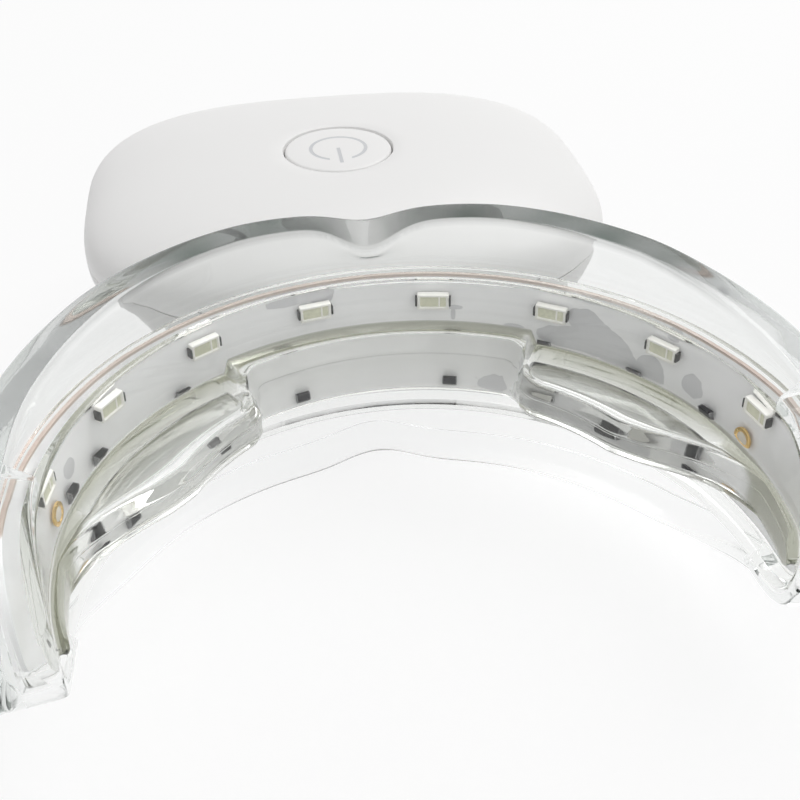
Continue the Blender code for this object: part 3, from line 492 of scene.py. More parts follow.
guardForm = {
    "frontOut": -0.0013,
    "innerOut": 0.0014,
    "outerOut": 0.0034,
    "pocketHalf": 0.00675,
    "endHalf": 0.00765,
    "endBulge": 0.0008,
    "tipFrom": 0.0067,           # past armRoundAt; the arm's thickness shrinks from there
    "tipLoss": 0.8,
    "rimHalf": 0.0015,
    "rimFarRound": 0.0006,
    "rimNearRound": 0.00028,
    "rimUp": 0.0106,
    "rimDown": 0.0140,
    "shares": (0.0, 0.25, 0.506, 0.633, 0.76, 0.886, 0.95, 1.0),
    "rimUpShares": (0.945, 1.0, 0.955, 0.89, 0.83, 0.795, 0.78, 0.775),
    "rimDownShares": (1.0, 1.0, 1.0, 0.99, 0.91, 0.79, 0.74, 0.72),
    "rimOut": 0.00335,
    "rimOutShares": (1.0, 1.0, 1.0, 0.98, 0.9, 0.74, 0.68, 0.66),
    "rimLip": 0.0009,
    "rimLipBack": 0.00005,
    "lowerRimOut": 0.0022,
    "beadNear": 0.0015,          # the lower rim's bead: where it is full, where it ends, its step
    "beadFar": 0.0016,
    "beadEnd": 0.0021,
    "beadStep": 0.00035,
    "wallUp": 0.0030,
    "shoulderUp": 0.0066,
    "shoulderUpShares": (1.0, 1.0, 1.02, 1.03, 1.03, 1.02, 1.0, 1.0),
    "shoulderOut": 0.0038,
    "shoulderOutShares": (1.0, 1.0, 1.04, 1.13, 1.27, 1.29, 1.2, 1.15),
    "flangeEndAt": 0.0372,
    "flangeEndRamp": 0.0009,
    "notchWidth": 0.0026,
    "notchNear": 0.0020,
    "notchFar": 0.0007,
    "lowerNotchWidth": 0.0036,
    "lowerNotch": 0.0014,
    "spacing": 0.00045,
    "closeTo": 0.006,            # closer stations round the notches, up to here
    "arcSteps": 7,
    "crestDeep": 0.0004,         # the crest's painted shade starts this far below it
    "crestSoft": 0.0002,
    "toneLeast": 0.22,
    "toneGain": 0.74,            # more of it between the two fades: where each ends, over what length
    "leftFade": (0.026, 0.012),
    "rightFade": (0.030, 0.008),
    "endFade": (0.0365, 0.009),
    "streaks": 0.04,
    "notchLoss": 0.35,
    "lowFrom": 0.0058,           # the lower flange turns faint from here down, most in the middle
    "lowSoft": 0.0012,
    "lowLeast": 0.65,
    "lowFade": (0.0345, 0.006),
    "endFaint": 0.6,
}
stemForm = {"width": 0.0170, "height": 0.0056, "corner": 0.0020, "sunk": 0.00015, "end": 0.0103}


def armStations(endRadius, spacing, extra=()):
    # even steps along both arms, then closer ones round the arm's end
    right = np.arange(0, archForm["armRoundAt"], spacing)
    sweep = np.radians(np.linspace(0, 89.3, archForm["endSteps"]))      # just short of the very tip
    rounded = archForm["armRoundAt"] + endRadius * np.sin(sweep)
    right = np.unique(np.concatenate([right, *extra, rounded]))
    return np.concatenate([-right[:0:-1], right])


def endHeight(along, radius):
    past = np.clip(np.abs(along) - archForm["armRoundAt"], 0, None)
    return np.sqrt(np.clip(radius ** 2 - past ** 2, 0, None))


def bandCutter(name, inner, outer, half):
    along = armStations(half, 0.0006)
    height = endHeight(along, half)
    loop = [archPoint(along, out, side * height) for out, side in
            ((inner, -1), (outer, -1), (outer, 1), (inner, 1))]
    return gridPiece(name, np.stack(loop, axis=1))


def boxAlongY(name, form, start, end, up=0.0):
    ring = roundedRect(form["width"] / 2, form["height"] / 2, form["corner"])
    grid = [coords(ring[:, 0], y, ring[:, 1] + up) for y in np.linspace(start, end, 5)]
    return gridPiece(name, np.array(grid))


def guardTable(name, along):
    return softTable(np.abs(along) / archForm["armRoundAt"], guardForm["shares"], guardForm[name])


def bell(along, width):
    return np.exp(-(along / width) ** 2)


def guardSection(s):
    # the section's corners are functions of the way along the arch, rounded off and blended into
    # the plain round end of each arm
    form = guardForm
    ended = smoothStep(np.abs(s), form["flangeEndAt"], form["flangeEndRamp"])
    end = endHeight(s, form["endHalf"])
    top = form["rimUp"] * guardTable("rimUpShares", s)
    base = -form["rimDown"] * guardTable("rimDownShares", s)
    base = base + form["lowerNotch"] * bell(s, form["lowerNotchWidth"])
    rim = form["rimOut"] * guardTable("rimOutShares", s)
    shoulderOut = form["shoulderOut"] * guardTable("shoulderOutShares", s)
    shoulderUp = form["shoulderUp"] * guardTable("shoulderUpShares", s)
    dip = bell(s, form["notchWidth"])
    near, far = top - form["notchNear"] * dip, top - form["notchFar"] * dip
    half, low = form["rimHalf"], form["lowerRimOut"]
    inner, outer, pocket = form["innerOut"], form["outerOut"], form["pocketHalf"]
    bead, beadEnd = form["beadStep"], base + form["beadEnd"]
    # the plain end's middle and half thickness; the very tip is rounded across its thickness too
    endOut = outer + form["endBulge"]
    middle, reach = (form["frontOut"] + endOut) / 2, (endOut - form["frontOut"]) / 2
    tip = form["endHalf"] - form["tipFrom"]
    past = np.clip((np.abs(s) - archForm["armRoundAt"] - form["tipFrom"]) / tip, 0, 1)
    reach = reach * np.sqrt(1 - form["tipLoss"] * past ** 2)
    # each corner: out, up, its place across and up the plain end, and its radius
    section = [
        (low - half, base, -1, -1, 0.0010),
        (low + half, base, 1, -1, 0.0011),
        (low + half, base + form["beadFar"], 1, -0.8, 0.0004),
        (low + half - bead, beadEnd, 1, -0.7, 0.0005),
        (outer, -form["shoulderUp"], 1, -0.5, 0.0012),
        (outer, form["wallUp"], 1, 0.3, 0.0012),
        (shoulderOut, shoulderUp, 1, 0.6, 0.0012),
        (rim + half, far, 1, 1, form["rimFarRound"]),
        (rim - half, near, -1, 1, form["rimNearRound"]),
        (rim - half - form["rimLipBack"], near - form["rimLip"], -1, 0.9, 0.0002),
        (inner, pocket + 0.0004, -1, 0.6, 0.0012),
        (inner, -pocket, -1, -0.6, 0.0006),
        (low - half + bead, beadEnd, -1, -0.75, 0.0005),
        (low - half, base + form["beadNear"], -1, -0.85, 0.0004),
    ]
    corners = [coords((1 - ended) * out + ended * (middle + reach * endAcross),
                      (1 - ended) * up + ended * end * endUp)
               for out, up, endAcross, endUp, _ in section]
    return softLoop(corners, [corner[-1] for corner in section], form["arcSteps"])


def fadeOut(along, fade):
    # 1 until a length before the place, 0 from the place on
    return smoothStep(-along, -fade[0], fade[1])


def shadeGuard(guard):
    form = guardForm
    places = placesOf(guard)
    along, out = archRead(places)
    # the crest, a flat band between its near and far edges, wears painted shade: a dark tone with
    # streaks that varies along the arch
    nearEdge = form["rimOut"] * guardTable("rimOutShares", along) - form["rimHalf"]
    across = np.clip((out - nearEdge) / (2 * form["rimHalf"]), 0, 1)
    dip = bell(along, form["notchWidth"])
    crest = form["rimUp"] * guardTable("rimUpShares", along)
    crest = crest - dip * (form["notchNear"] * (1 - across) + form["notchFar"] * across)
    # painted shade: dark at the top of the crest
    deep = smoothStep(places[:, 2], crest - form["crestDeep"], form["crestSoft"])
    deep = deep * fadeOut(np.abs(along), form["endFade"])
    faded = fadeOut(-along, form["leftFade"]) * fadeOut(along, form["rightFade"])
    streaks = np.sin(along * 900 + 1.3) * np.sin(along * 310 + out * 2500)
    deep = deep * (form["toneLeast"] + form["toneGain"] * faded + form["streaks"] * streaks)
    mark(guard, "tone", deep * (1 - form["notchLoss"] * dip))
    # the lower flange shows least in the middle
    low = smoothStep(-places[:, 2], form["lowFrom"], form["lowSoft"])
    low = low * (form["lowLeast"] + (1 - form["lowLeast"]) * fadeOut(np.abs(along), form["lowFade"]))
    mark(guard, "faint", np.maximum(low, smoothStep(np.abs(along), 0.0375, 0.003) * form["endFaint"]))


def makeGuard():
    # the section at each station along the arch, less the pocket for the tray, plus the stem
    form = guardForm
    endAt, endRamp = form["flangeEndAt"], form["flangeEndRamp"]
    ends = np.linspace(endAt - 0.0003, endAt + endRamp + 0.0003, 14)
    s = armStations(form["endHalf"], form["spacing"], (ends, np.linspace(0, form["closeTo"], 25)))
    loop = guardSection(s)
    grid = archPoint(s[None, :], loop[..., 0], loop[..., 1]).transpose(1, 0, 2)
    guard = gridPiece("guardMoulding", grid)
    pocket = bandCutter("pocketCut", form["frontOut"] - 0.002, form["innerOut"], form["pocketHalf"])
    stem = boxAlongY("stemBlock", stemForm, form["innerOut"] + stemForm["sunk"], stemForm["end"])
    carve(guard, [(pocket, "DIFFERENCE"), (stem, "UNION")])
    shadeGuard(guard)
    wear(guard, clearSilicone)
    return guard


guard = makeGuard()
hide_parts("outer_guard")
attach(guard, "kit")
print("outer guard:", len(guard.data.polygons), "faces")

# bite tray

trayForm = {
    "faceOut": -0.0003,
    "frontOut": -0.0013,
    "backOut": 0.0011,
    "half": 0.0065,
    "channelHalf": 0.0058,
    "shelfHalf": 0.0030,
    "padHalf": 0.0015,
    "shelfEndAt": 0.0133,
    "shelfEndRamp": 0.0009,
    "reach": 0.0080,
    "shares": (0.0, 0.30, 0.345, 0.375, 0.43, 0.66, 0.74, 0.81, 0.868, 0.91, 0.955, 1.0),
    "reachShares": (0.545, 0.545, 0.65, 0.89, 0.985, 1.0, 0.92, 0.76, 0.60, 0.48, 0.35, 0.262),
    "edge": 0.0013,
    "recess": 0.00035,
    "bead": 0.0003,
    # three close rows on the tongue's face carry a thin line of painted shade: depth, share of the half
    # thickness
    "faceRows": ((0, 0.50), (0.00004, 0.475), (0, 0.45)),
    "spacing": 0.00045,
    "closeSpan": (0.0112, 0.0172),
    "arcSteps": 7,
    "besideFrom": -0.0027,       # the painted refraction band lies between this and the wall's face
    "besideSoft": 0.0004,
    "wallSoft": 0.00008,
    # how dark the painted line of shade is
    "paintedLineShade": 0.8,
    "lineHalf": 0.00006,
    "noseFrom": 0.0040,          # the line is on the shelf's nose, further in than this
    "wallFaint": 0.8,
    "hemFrom": 0.0046,           # the wall's lower edge, under the shelf
    "hemFaint": 0.85,
    "endFaint": 0.7,
}


def traySection(s):
    # a wall with a tongue on its mouth side; the tongue's length and thickness follow the tables
    form = trayForm
    front = form["frontOut"]
    share = np.abs(s) / archForm["armRoundAt"]
    height = endHeight(s, form["half"])
    reach = form["reach"] * softTable(share, form["shares"], form["reachShares"]) + front
    toPad = smoothStep(np.abs(s), form["shelfEndAt"], form["shelfEndRamp"])
    half = form["shelfHalf"] + (form["padHalf"] - form["shelfHalf"]) * toPad
    # the shape's smaller forms shrink with the tongue towards the ends
    half = np.minimum(half, height * 0.4)
    edge = np.minimum(form["edge"], reach * 0.4)
    recess = np.minimum(form["recess"], half * 0.22) * np.minimum(1, reach / 0.0026)
    bead = np.minimum(form["bead"], half * 0.12)
    nose = front - reach
    upper = [
        (form["backOut"], height, 0.0002),
        (front, height, 0.00035),
        (front, half, 0.0004),
        (nose + edge * 1.5, half - recess, 0.0005),
        (nose + edge * 0.75, half + bead, 0.0004),
        (nose, half * 0.62, 0.0004),
    ]
    face = [(nose + deep, half * level, 0.00001) for deep, level in form["faceRows"]]
    section = upper + face + [(out, -up, radius) for out, up, radius in reversed(upper)]
    corners = [coords(out, up) for out, up, _ in section]
    return softLoop(corners, [corner[-1] for corner in section], form["arcSteps"])


def shadeTray(tray):
    form = trayForm
    places = placesOf(tray)
    along, out = archRead(places)
    far, down = np.abs(along), -places[:, 2]
    toWall = smoothStep(-out, form["wallSoft"] / 2 - form["frontOut"], form["wallSoft"])
    # painted refraction band on the tongue beside the wall's face
    mark(tray, "paintedBand", smoothStep(out, form["besideFrom"], form["besideSoft"]) * toWall)
    # painted shade: a thin dark line along the tongue's face, on the shelf only
    offLine = np.abs(places[:, 2] - form["faceRows"][1][1] * form["shelfHalf"])
    onShelf = fadeOut(far, (form["shelfEndAt"], 0.0006)) * smoothStep(-out, form["noseFrom"], 0.0002)
    mark(tray, "tone", form["paintedLineShade"] * fadeOut(offLine, (form["lineHalf"], 0.00004)) * onShelf)
    wall = smoothStep(out, -0.0017, 0.0003) * smoothStep(far, 0.022, 0.010) * form["wallFaint"]
    hem = smoothStep(down, form["hemFrom"], 0.0008) * fadeOut(far, (0.0150, 0.002)) * form["hemFaint"]
    ends = smoothStep(far, 0.0345, 0.004) * form["endFaint"]
    mark(tray, "faint", np.maximum(np.maximum(wall, hem), ends))


def makeTray():
    # the section at each station along the arch, less the channel for the strip and its lamps
    form = trayForm
    s = armStations(form["half"], form["spacing"], (np.linspace(*form["closeSpan"], 60),))
    loop = traySection(s)
    grid = archPoint(s[None, :], loop[..., 0], loop[..., 1]).transpose(1, 0, 2)
    tray = gridPiece("biteTray", grid)
    channel = bandCutter("channelCut", form["faceOut"], form["backOut"] + 0.002, form["channelHalf"])
    carve(tray, [(channel, "DIFFERENCE")])
    shadeTray(tray)
    wear(tray, softSilicone)
    return tray


tray = makeTray()
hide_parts("bite_tray")
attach(tray, "kit")
print("bite tray:", len(tray.data.polygons), "faces")

# strip with its lamps, resistors and pads

stripForm = {"inner": 0.0008, "outer": 0.0011, "half": 0.0055, "rows": 13, "spacing": 0.0005}


def makeStrip():
    # a thin band swept along the arch; its UV map holds the way along and up in metres
    form = stripForm
    s = armStations(form["half"], form["spacing"])
    height = endHeight(s, form["half"])
    ups = np.concatenate([np.linspace(-1, 1, form["rows"]), np.linspace(1, -1, form["rows"])])
    outs = np.repeat([form["inner"], form["outer"]], form["rows"])
    up = height[:, None] * ups[None]
    grid = archPoint(s[:, None], outs[None], up)
    uv = coords(s[:, None], up)
    strip = gridPiece("lampStrip", grid, uv=uv)
    wear(strip, stripMask)
    return strip


strip = makeStrip()
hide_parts("led_flex_strip")
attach(strip, "kit")


def ringStack(rings):
    # rings of (half width, half height, corner, y) stacked into a closed body, X wide and Z high
    outlines = [(roundedRect(*ring[:3]), ring[3]) for ring in rings]
    return np.array([coords(points[:, 0], y, points[:, 1]) for points, y in outlines])


def onStrip(grid, along, up, shift):
    # turns a small body drawn at the origin to face the teeth at a place on the strip
    turn = archTurn(along)
    x, y, z = grid[..., 0] + shift, grid[..., 1], grid[..., 2]
    c, s = math.cos(turn), math.sin(turn)
    foot = archPoint(along, 0.0, up)
    return coords(foot[0] + c * x + s * y, foot[1] - s * x + c * y, foot[2] + z)


def standOnStrip(name, along, up, bodies):
    # bodies are (grid, shift along the strip, finish)
    return joinPieces(name, [(gridPiece("body", onStrip(grid, along, up, shift)), look)
                             for grid, shift, look in bodies])


lampForm = {
    "pitch": 0.00988,
    "up": 0.00375,
    "width": 0.0030,
    "height": 0.0014,
    "depth": 0.00055,
    "frame": 0.00021,
    "windowSunk": 0.00014,
    "terminal": 0.00017,
    "terminalHeight": 0.00078,
    "barAt": 0.00052,
    "barWidth": 0.00013,
}


def makeLamp(number, along):
    # case, sunk window with a pale bar across it, and a terminal at each end; bevels are a few
    # hundredths of a millimetre
    form = lampForm
    w, h, d = form["width"] / 2 - form["terminal"], form["height"] / 2, form["depth"]
    winW, winH, sunk = w - form["frame"], h - form["frame"], form["windowSunk"]
    case = ringStack([
        (w, h, 0.00012, d), (w, h, 0.00012, 0.00008), (w - 0.00004, h - 0.00004, 0.0001, 0.00001),
        (w - 0.00008, h - 0.00008, 0.0001, 0.0), (winW + 0.00003, winH + 0.00003, 0.00012, 0.0),
        (winW, winH, 0.00012, 0.00003), (winW - 0.00006, winH - 0.00006, 0.00012, sunk + 0.00005)])
    window = ringStack([
        (winW - 0.00002, winH - 0.00002, 0.0001, sunk + 0.0002),
        (winW - 0.00002, winH - 0.00002, 0.0001, sunk),
        (winW - 0.0003, winH - 0.0002, 0.0001, sunk + 0.00002)])
    bar = ringStack([
        (form["barWidth"] / 2, winH - 0.00003, 0.00003, sunk + 0.00006),
        (form["barWidth"] / 2, winH - 0.00003, 0.00003, sunk - 0.00004),
        (form["barWidth"] / 3, winH - 0.00006, 0.00003, sunk - 0.00006)])
    t, th = form["terminal"] / 2, form["terminalHeight"] / 2
    terminal = ringStack([(t, th, 0.00004, d), (t, th, 0.00004, 0.00006),
                          (t * 0.8, th * 0.95, 0.00004, 0.00002)])
    side = form["width"] / 2 - t
    return standOnStrip(f"lamp_{number}", along, form["up"], [
        (case, 0, lampCase), (window, 0, lampWindow), (bar, form["barAt"], lampBar),
        (terminal, -side, terminalBlack), (terminal, side, terminalBlack)])


# numbered from the middle outwards, the left arm first
for number, step in enumerate((-0.5, -1.5, -2.5, -3.5, 0.5, 1.5, 2.5, 3.5), 1):
    lamp = makeLamp(number, lampForm["pitch"] * step)
    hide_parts(f"led_{number}")
    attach(lamp, "kit")
print("lamps:", number)

resistorForm = {
    "width": 0.0013,
    "depth": 0.0005,
    "height": 0.0011,
    "face": 0.00005,
    "endCap": 0.0001,
    "stationShares": (-0.780, -0.673, -0.437, -0.178, 0.164, 0.360, 0.565, 0.744),
    "ups": (0.0002, 0.0002, 0.0002, -0.0035, -0.0035, 0.0002, 0.0002, 0.0002),
}


def makeResistor(number, along, up):
    form = resistorForm
    near, far = form["face"], form["face"] + form["depth"]
    w, h, cap = form["width"] / 2, form["height"] / 2, form["endCap"]
    body = ringStack([
        (w - cap, h - 0.00002, 0.00003, far), (w - cap, h - 0.00002, 0.00003, near + 0.00005),
        (w - cap - 0.00003, h - 0.00006, 0.00003, near + 0.00002)])
    end = ringStack([(cap / 2, h, 0.00005, far), (cap / 2, h, 0.00005, near + 0.00005),
                     (cap / 2 - 0.00004, h - 0.00004, 0.00004, near)])
    side = w - cap / 2
    return standOnStrip(f"chipResistor_{number}", along, up, [
        (body, 0, resistorBlack), (end, -side, solderTin), (end, side, solderTin)])


for number, (share, up) in enumerate(zip(resistorForm["stationShares"], resistorForm["ups"]), 1):
    chip = makeResistor(number, share * archForm["armRoundAt"], up)
    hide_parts(f"resistor_{number}")
    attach(chip, "kit")

padForm = {
    "stationShare": 0.845,
    "radius": 0.0009,
    "thick": 0.0002,
    "back": 0.00055,
    "up": 0.0005,
    "count": 40,
}


def turnedGrid(profile, count, axis="Z"):
    # a profile of (place along the axis, radius) turned round it
    turn = fullTurn(count)
    place, radius = np.array(profile).T[..., None]
    a, b = radius * np.cos(turn), radius * np.sin(turn)
    return coords(a, b, place) if axis == "Z" else coords(a, place, b)


def makePad(name, along):
    form = padForm
    r, back, front = form["radius"], form["back"], form["back"] - form["thick"]
    rim = [(back, r), (front + 0.00003, r), (front, r - 0.00004), (front, r - 0.00028),
           (front + 0.00006, r - 0.00032)]
    centre = [(back - 0.00004, r - 0.00034), (front + 0.00006, r - 0.00034),
              (front + 0.00002, r - 0.0005)]
    return standOnStrip(name, along, form["up"], [
        (turnedGrid(profile, form["count"], "Y"), 0, look)
        for profile, look in ((rim, goldPad), (centre, padCentre))])


for side, word in ((-1, "left"), (1, "right")):
    pad = makePad(f"testPad_{word}", side * padForm["stationShare"] * archForm["armRoundAt"])
    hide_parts(f"copper_pad_{word}")
    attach(pad, "kit")
print("strip parts made")

# housing

housingForm = {
    "width": 0.0504,
    "depth": 0.0404,
    "height": 0.0116,
    "near": 0.0061,
    "up": 0.0010,
    "baseFlat": 0.0003,
    "planPower": 2.9,
    "nearPower": 3.4,        # the half towards the mouth is squarer
    "nearExtra": 0.0012,
    "edgePower": 2.8,
    "wall": 0.0016,
    "skirt": 0.00075,
    "lip": 0.00075,
    "seam": 0.00006,
    "seamEase": 0.00002,
    "lipRise": 0.0012,
    "clearance": 0.00025,
    "gasket": 0.0005,
    "buttonY": 0.0251,
    "holeRadius": 0.0054,
    "holeEdge": 0.00022,
    "count": 176,
    "crowding": 2.3,         # how much closer the rows lie towards the seam
    "creaseAngle": 40,
}
neckForm = {"width": 0.0175, "height": 0.0061, "corner": 0.00225, "before": 0.002, "end": 0.0123}
socketForm = {
    "width": 0.0094,
    "height": 0.0037,
    "corner": 0.00185,
    "deep": 0.00945,
    "past": 0.002,
    "up": 0.00065 - 0.00025 - 0.0016,    # underside of the board, less a gap and half the socket
}
housingMiddle = housingForm["near"] + housingForm["depth"] / 2


def planHalves(near, inset):
    # half width, half depth and power of the plan; the half towards the mouth is deeper and squarer
    form = housingForm
    deep = form["depth"] / 2 + np.where(near, form["nearExtra"], 0) - inset
    return form["width"] / 2 - inset, deep, np.where(near, form["nearPower"], form["planPower"])


def outline(inset, share=1.0):
    # superellipse in plan: |x / wide|^n + |y / deep|^n = 1
    turn = fullTurn(housingForm["count"])
    c, s = np.cos(turn), np.sin(turn)
    wide, deep, n = planHalves(s < 0, inset)
    x = wide * share * np.sign(c) * np.abs(c) ** (2 / n)
    y = deep * share * np.sign(s) * np.abs(s) ** (2 / n)
    return coords(x, y + housingMiddle)


def buttonCircle(radius):
    turn = fullTurn(housingForm["count"])
    return coords(radius * np.cos(turn), radius * np.sin(turn) + housingForm["buttonY"])


def domeHeight(plan, inset):
    # height over the middle plane: r^p + (z / half)^p = 1, with r the plan's superelliptic radius
    x, y = plan[..., 0], plan[..., 1]
    wide, deep, n = planHalves(y < housingMiddle, inset)
    p = housingForm["edgePower"]
    radius = (np.abs(x) / wide) ** n + (np.abs(y - housingMiddle) / deep) ** n
    rest = np.clip(1 - radius ** (p / n), 0, 1)
    return (housingForm["height"] / 2 - inset) * rest ** (1 / p)


def flatRing(inset, up):
    return coords(*outline(inset).T, up)


def domed(plan, inset, side, limit=None):
    height = domeHeight(plan, inset)
    if limit is not None:
        height = np.minimum(height, limit)
    return coords(*plan.T, housingForm["up"] + side * height)


def shareAt(height, inset):
    p = housingForm["edgePower"]
    return (1 - (height / (housingForm["height"] / 2 - inset)) ** p) ** (1 / p)


def neckCut():
    return boxAlongY("neckCut", neckForm, housingForm["near"] - neckForm["before"], neckForm["end"])


def makeUpperShell():
    # rows run from the seam over the dome to the button's hole, down its wall and back inside
    form = housingForm
    seam = form["up"] + form["seam"] / 2
    shoulder = form["lipRise"] + 2 * form["clearance"] + form["gasket"]
    wall, edge = form["wall"], form["holeEdge"]
    hole, rim = buttonCircle(form["holeRadius"]), buttonCircle(form["holeRadius"] + edge)
    eased = buttonCircle(form["holeRadius"] + edge * 0.3)
    inner = outline(wall, shareAt(shoulder, wall))
    rows = [flatRing(form["seamEase"], seam), flatRing(0, seam + form["seamEase"])]
    rows += [domed(outline(0) * (1 - t) + rim * t, 0, 1)
             for t in np.linspace(0.03, 1, 34) ** form["crowding"]]
    rows += [domed(eased, 0, 1) - [0, 0, edge * 0.3], domed(hole, 0, 1) - [0, 0, edge],
             domed(hole, wall, 1)]
    rows += [domed(inner * (1 - t) + hole * t, wall, 1) for t in np.linspace(1, 0.05, 14) ** 2]
    rows += [domed(inner, wall, 1), flatRing(form["skirt"], form["up"] + shoulder),
             flatRing(form["skirt"], seam)]
    shell = gridPiece("upperShell", np.array(rows), loopRows=True, sharp=form["creaseAngle"])
    carve(shell, [(neckCut(), "DIFFERENCE")], form["creaseAngle"])
    wear(shell, shellWhite)
    return shell


def socketMouth():
    form, far = socketForm, housingForm["near"] + housingForm["depth"]
    return boxAlongY("socketCut", form, far - form["deep"], far + form["past"], form["up"])


def makeLowerShell():
    # rows run from the middle of the base out to the seam, over the lip and back down inside
    form = housingForm
    seam = form["up"] - form["seam"] / 2
    base = form["height"] / 2 - form["baseFlat"]
    lipOut, lipUp = form["skirt"] + form["clearance"], form["up"] + form["lipRise"]
    wall, flat = form["wall"], shareAt(base, 0)
    bent = 1 - (1 - np.linspace(0, 0.97, 34)) ** form["crowding"]
    rows = [domed(outline(0, share), 0, -1, base)
            for share in (0.02, 0.2, 0.36, *(flat + (1 - flat) * bent))]
    rows += [flatRing(inset, up) for inset, up in (
        (0, seam - form["seamEase"]), (form["seamEase"], seam), (lipOut, seam), (lipOut, lipUp),
        (lipOut + form["lip"], lipUp), (lipOut + form["lip"], seam))]
    rows += [domed(outline(wall, share), wall, -1, base - wall) for share in
             (0.95, 0.9, 0.82, 0.7, 0.6, shareAt(base - wall, wall), 0.2, 0.02)]
    shell = gridPiece("lowerShell", np.array(rows), sharp=form["creaseAngle"])
    carve(shell, [(neckCut(), "DIFFERENCE"), (socketMouth(), "DIFFERENCE")], form["creaseAngle"])
    # painted shade: the darker copy of the shell white
    wear(shell, shellLowerShaded)
    return shell


for maker, node in ((makeUpperShell, "upper_shell"), (makeLowerShell, "lower_shell")):
    shell = maker()
    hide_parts(node)
    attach(shell, "kit")
    print(node, len(shell.data.polygons), "faces")

buttonForm = {
    "clearance": 0.00016,
    "crown": 0.0001,
    "edge": 0.0003,
    "flangeOver": 0.00085,
    "flangeThick": 0.0005,
    "bossRadius": 0.0016,
    "bossDrop": 0.00015,
    "symbolRadius": 0.0027,
    "symbolLine": 0.00030,
    "symbolGap": 0.0011,
    "symbolSoft": 0.00005,
    "barFoot": 0.0,
    "barTop": -0.0034,
    "symbolGrey": (0.62, 0.63, 0.65),
}


def makeButtonLook():
    # satin white with a generic power sign, an open ring and a bar, drawn from distances in plan
    form = buttonForm
    look, tree, shader = newLook("buttonWhite")
    place = objectPlace(tree)
    x, y, _ = addNode(tree, "ShaderNodeSeparateXYZ", {0: place}).outputs
    y = mathNode("SUBTRACT", y, housingForm["buttonY"] + float(biteShift[1]))
    squares = mathNode("ADD", mathNode("MULTIPLY", x, x), mathNode("MULTIPLY", y, y))
    offRing = mathNode("SUBTRACT", mathNode("SQRT", squares), form["symbolRadius"])
    half, soft = form["symbolLine"] / 2, form["symbolSoft"]
    ring = remap(mathNode("ABSOLUTE", offRing), half, half + soft, 1, 0)
    across = mathNode("ABSOLUTE", x)
    # the ring is open towards the mouth, where the bar stands
    gap = mathNode("MULTIPLY", remap(across, form["symbolGap"], form["symbolGap"] - soft, 0, 1),
                   remap(y, 0.0, -0.0002, 0, 1))
    ring = mathNode("MULTIPLY", ring, mathNode("SUBTRACT", 1.0, gap))
    length = mathNode("MULTIPLY", remap(y, form["barFoot"] + 0.0001, form["barFoot"], 0, 1),
                      remap(y, form["barTop"] - 0.0001, form["barTop"], 0, 1))
    bar = mathNode("MULTIPLY", remap(across, half, half + soft, 1, 0), length)
    sign = mathNode("MAXIMUM", ring, bar)
    fine = noiseAt(place, 900, 4, 0.6)
    height = mathNode("SUBTRACT", mathNode("MULTIPLY", fine, 0.15), sign)
    setInputs(shader, {
        "Base Color": mixColour(sign, shellColour, form["symbolGrey"]),
        "Roughness": spread(fine, 0.32, 0.4),
        "Normal": bumpOf(height, 0.00006, 0.5),
    })
    return look


def makeButton():
    # a turned profile: boss, flange under the shell, straight side, rounded edge and a low crown
    form, house = buttonForm, housingForm
    at = lambda y, inset: float(domeHeight(np.array([0.0, y]), inset))
    flangeRadius = house["holeRadius"] + form["flangeOver"]
    flangeTop = house["up"] + at(house["buttonY"] + flangeRadius, house["wall"]) - house["clearance"]
    flangeLow = flangeTop - form["flangeThick"]
    top = house["up"] + at(house["buttonY"], 0) - form["crown"]
    r = house["holeRadius"] - form["clearance"]
    turns = np.radians(np.linspace(0, 90, 7))
    profile = [(flangeLow - form["bossDrop"], form["bossRadius"]), (flangeLow, form["bossRadius"]),
               (flangeLow, flangeRadius), (flangeTop, flangeRadius), (flangeTop, r)]
    profile += [(top - form["edge"] * (1 - math.sin(a)), r - form["edge"] * (1 - math.cos(a)))
                for a in turns]
    profile += [(top + 0.00004, r * 0.7), (top + 0.00006, r * 0.35)]
    grid = turnedGrid(profile, 128)
    grid[..., 1] += house["buttonY"]
    button = gridPiece("powerButton", grid, sharp=house["creaseAngle"])
    wear(button, makeButtonLook())
    return button


button = makeButton()
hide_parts("power_button")
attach(button, "button")
print("housing made")

# hidden parts keep their CAD shape and get a finish of their own


def makeBoardLook():
    # green mask with paler tracks: a fine brick pattern of lines broken up by noise
    look, tree, shader = newLook("boardMask")
    place = objectPlace(tree)
    tracks = addNode(tree, "ShaderNodeTexBrick", {"Vector": place, "Scale": 420.0, "Mortar Size": 0.04,
                     "Color1": (0.02, 0.16, 0.07, 1), "Color2": (0.025, 0.19, 0.08, 1),
                     "Mortar": (0.07, 0.32, 0.14, 1)}).outputs["Color"]
    plain = spread(noiseAt(place, 300, 2), 0, 1, 0.45)
    setInputs(shader, {"Base Color": mixColour(plain, (0.025, 0.18, 0.08), tracks),
                       "Roughness": 0.4})
    return look


def makeTailLook():
    # white film, a little darker between the tracks that run along Y
    look, tree, shader = newLook("tailFilm")
    place = objectPlace(tree)
    across = addNode(tree, "ShaderNodeSeparateXYZ", {0: place}).outputs[0]
    wave = mathNode("SINE", mathNode("MULTIPLY", across, 2 * math.pi / 0.0010))
    between = remap(wave, 0.1, 0.3, 0, 1)
    setInputs(shader, {
        "Base Color": mixColour(between, (0.74, 0.74, 0.75), (0.80, 0.80, 0.81)),
        "Roughness": spread(noiseAt(place, 900, 2), 0.25, 0.4),
    })
    return look


def makeFoilLook():
    # the cell's pouch: foil with soft creases
    look, tree, shader = newLook("cellFoil")
    crease = noiseAt(objectPlace(tree), 260, 4, 0.6, 0.6)
    setInputs(shader, {
        "Base Color": mixColour(crease, (0.62, 0.63, 0.65), (0.74, 0.75, 0.77)),
        "Roughness": 0.38,
        "Metallic": 0.8,
        "Normal": bumpOf(crease, 0.00008, 0.5),
    })
    return look


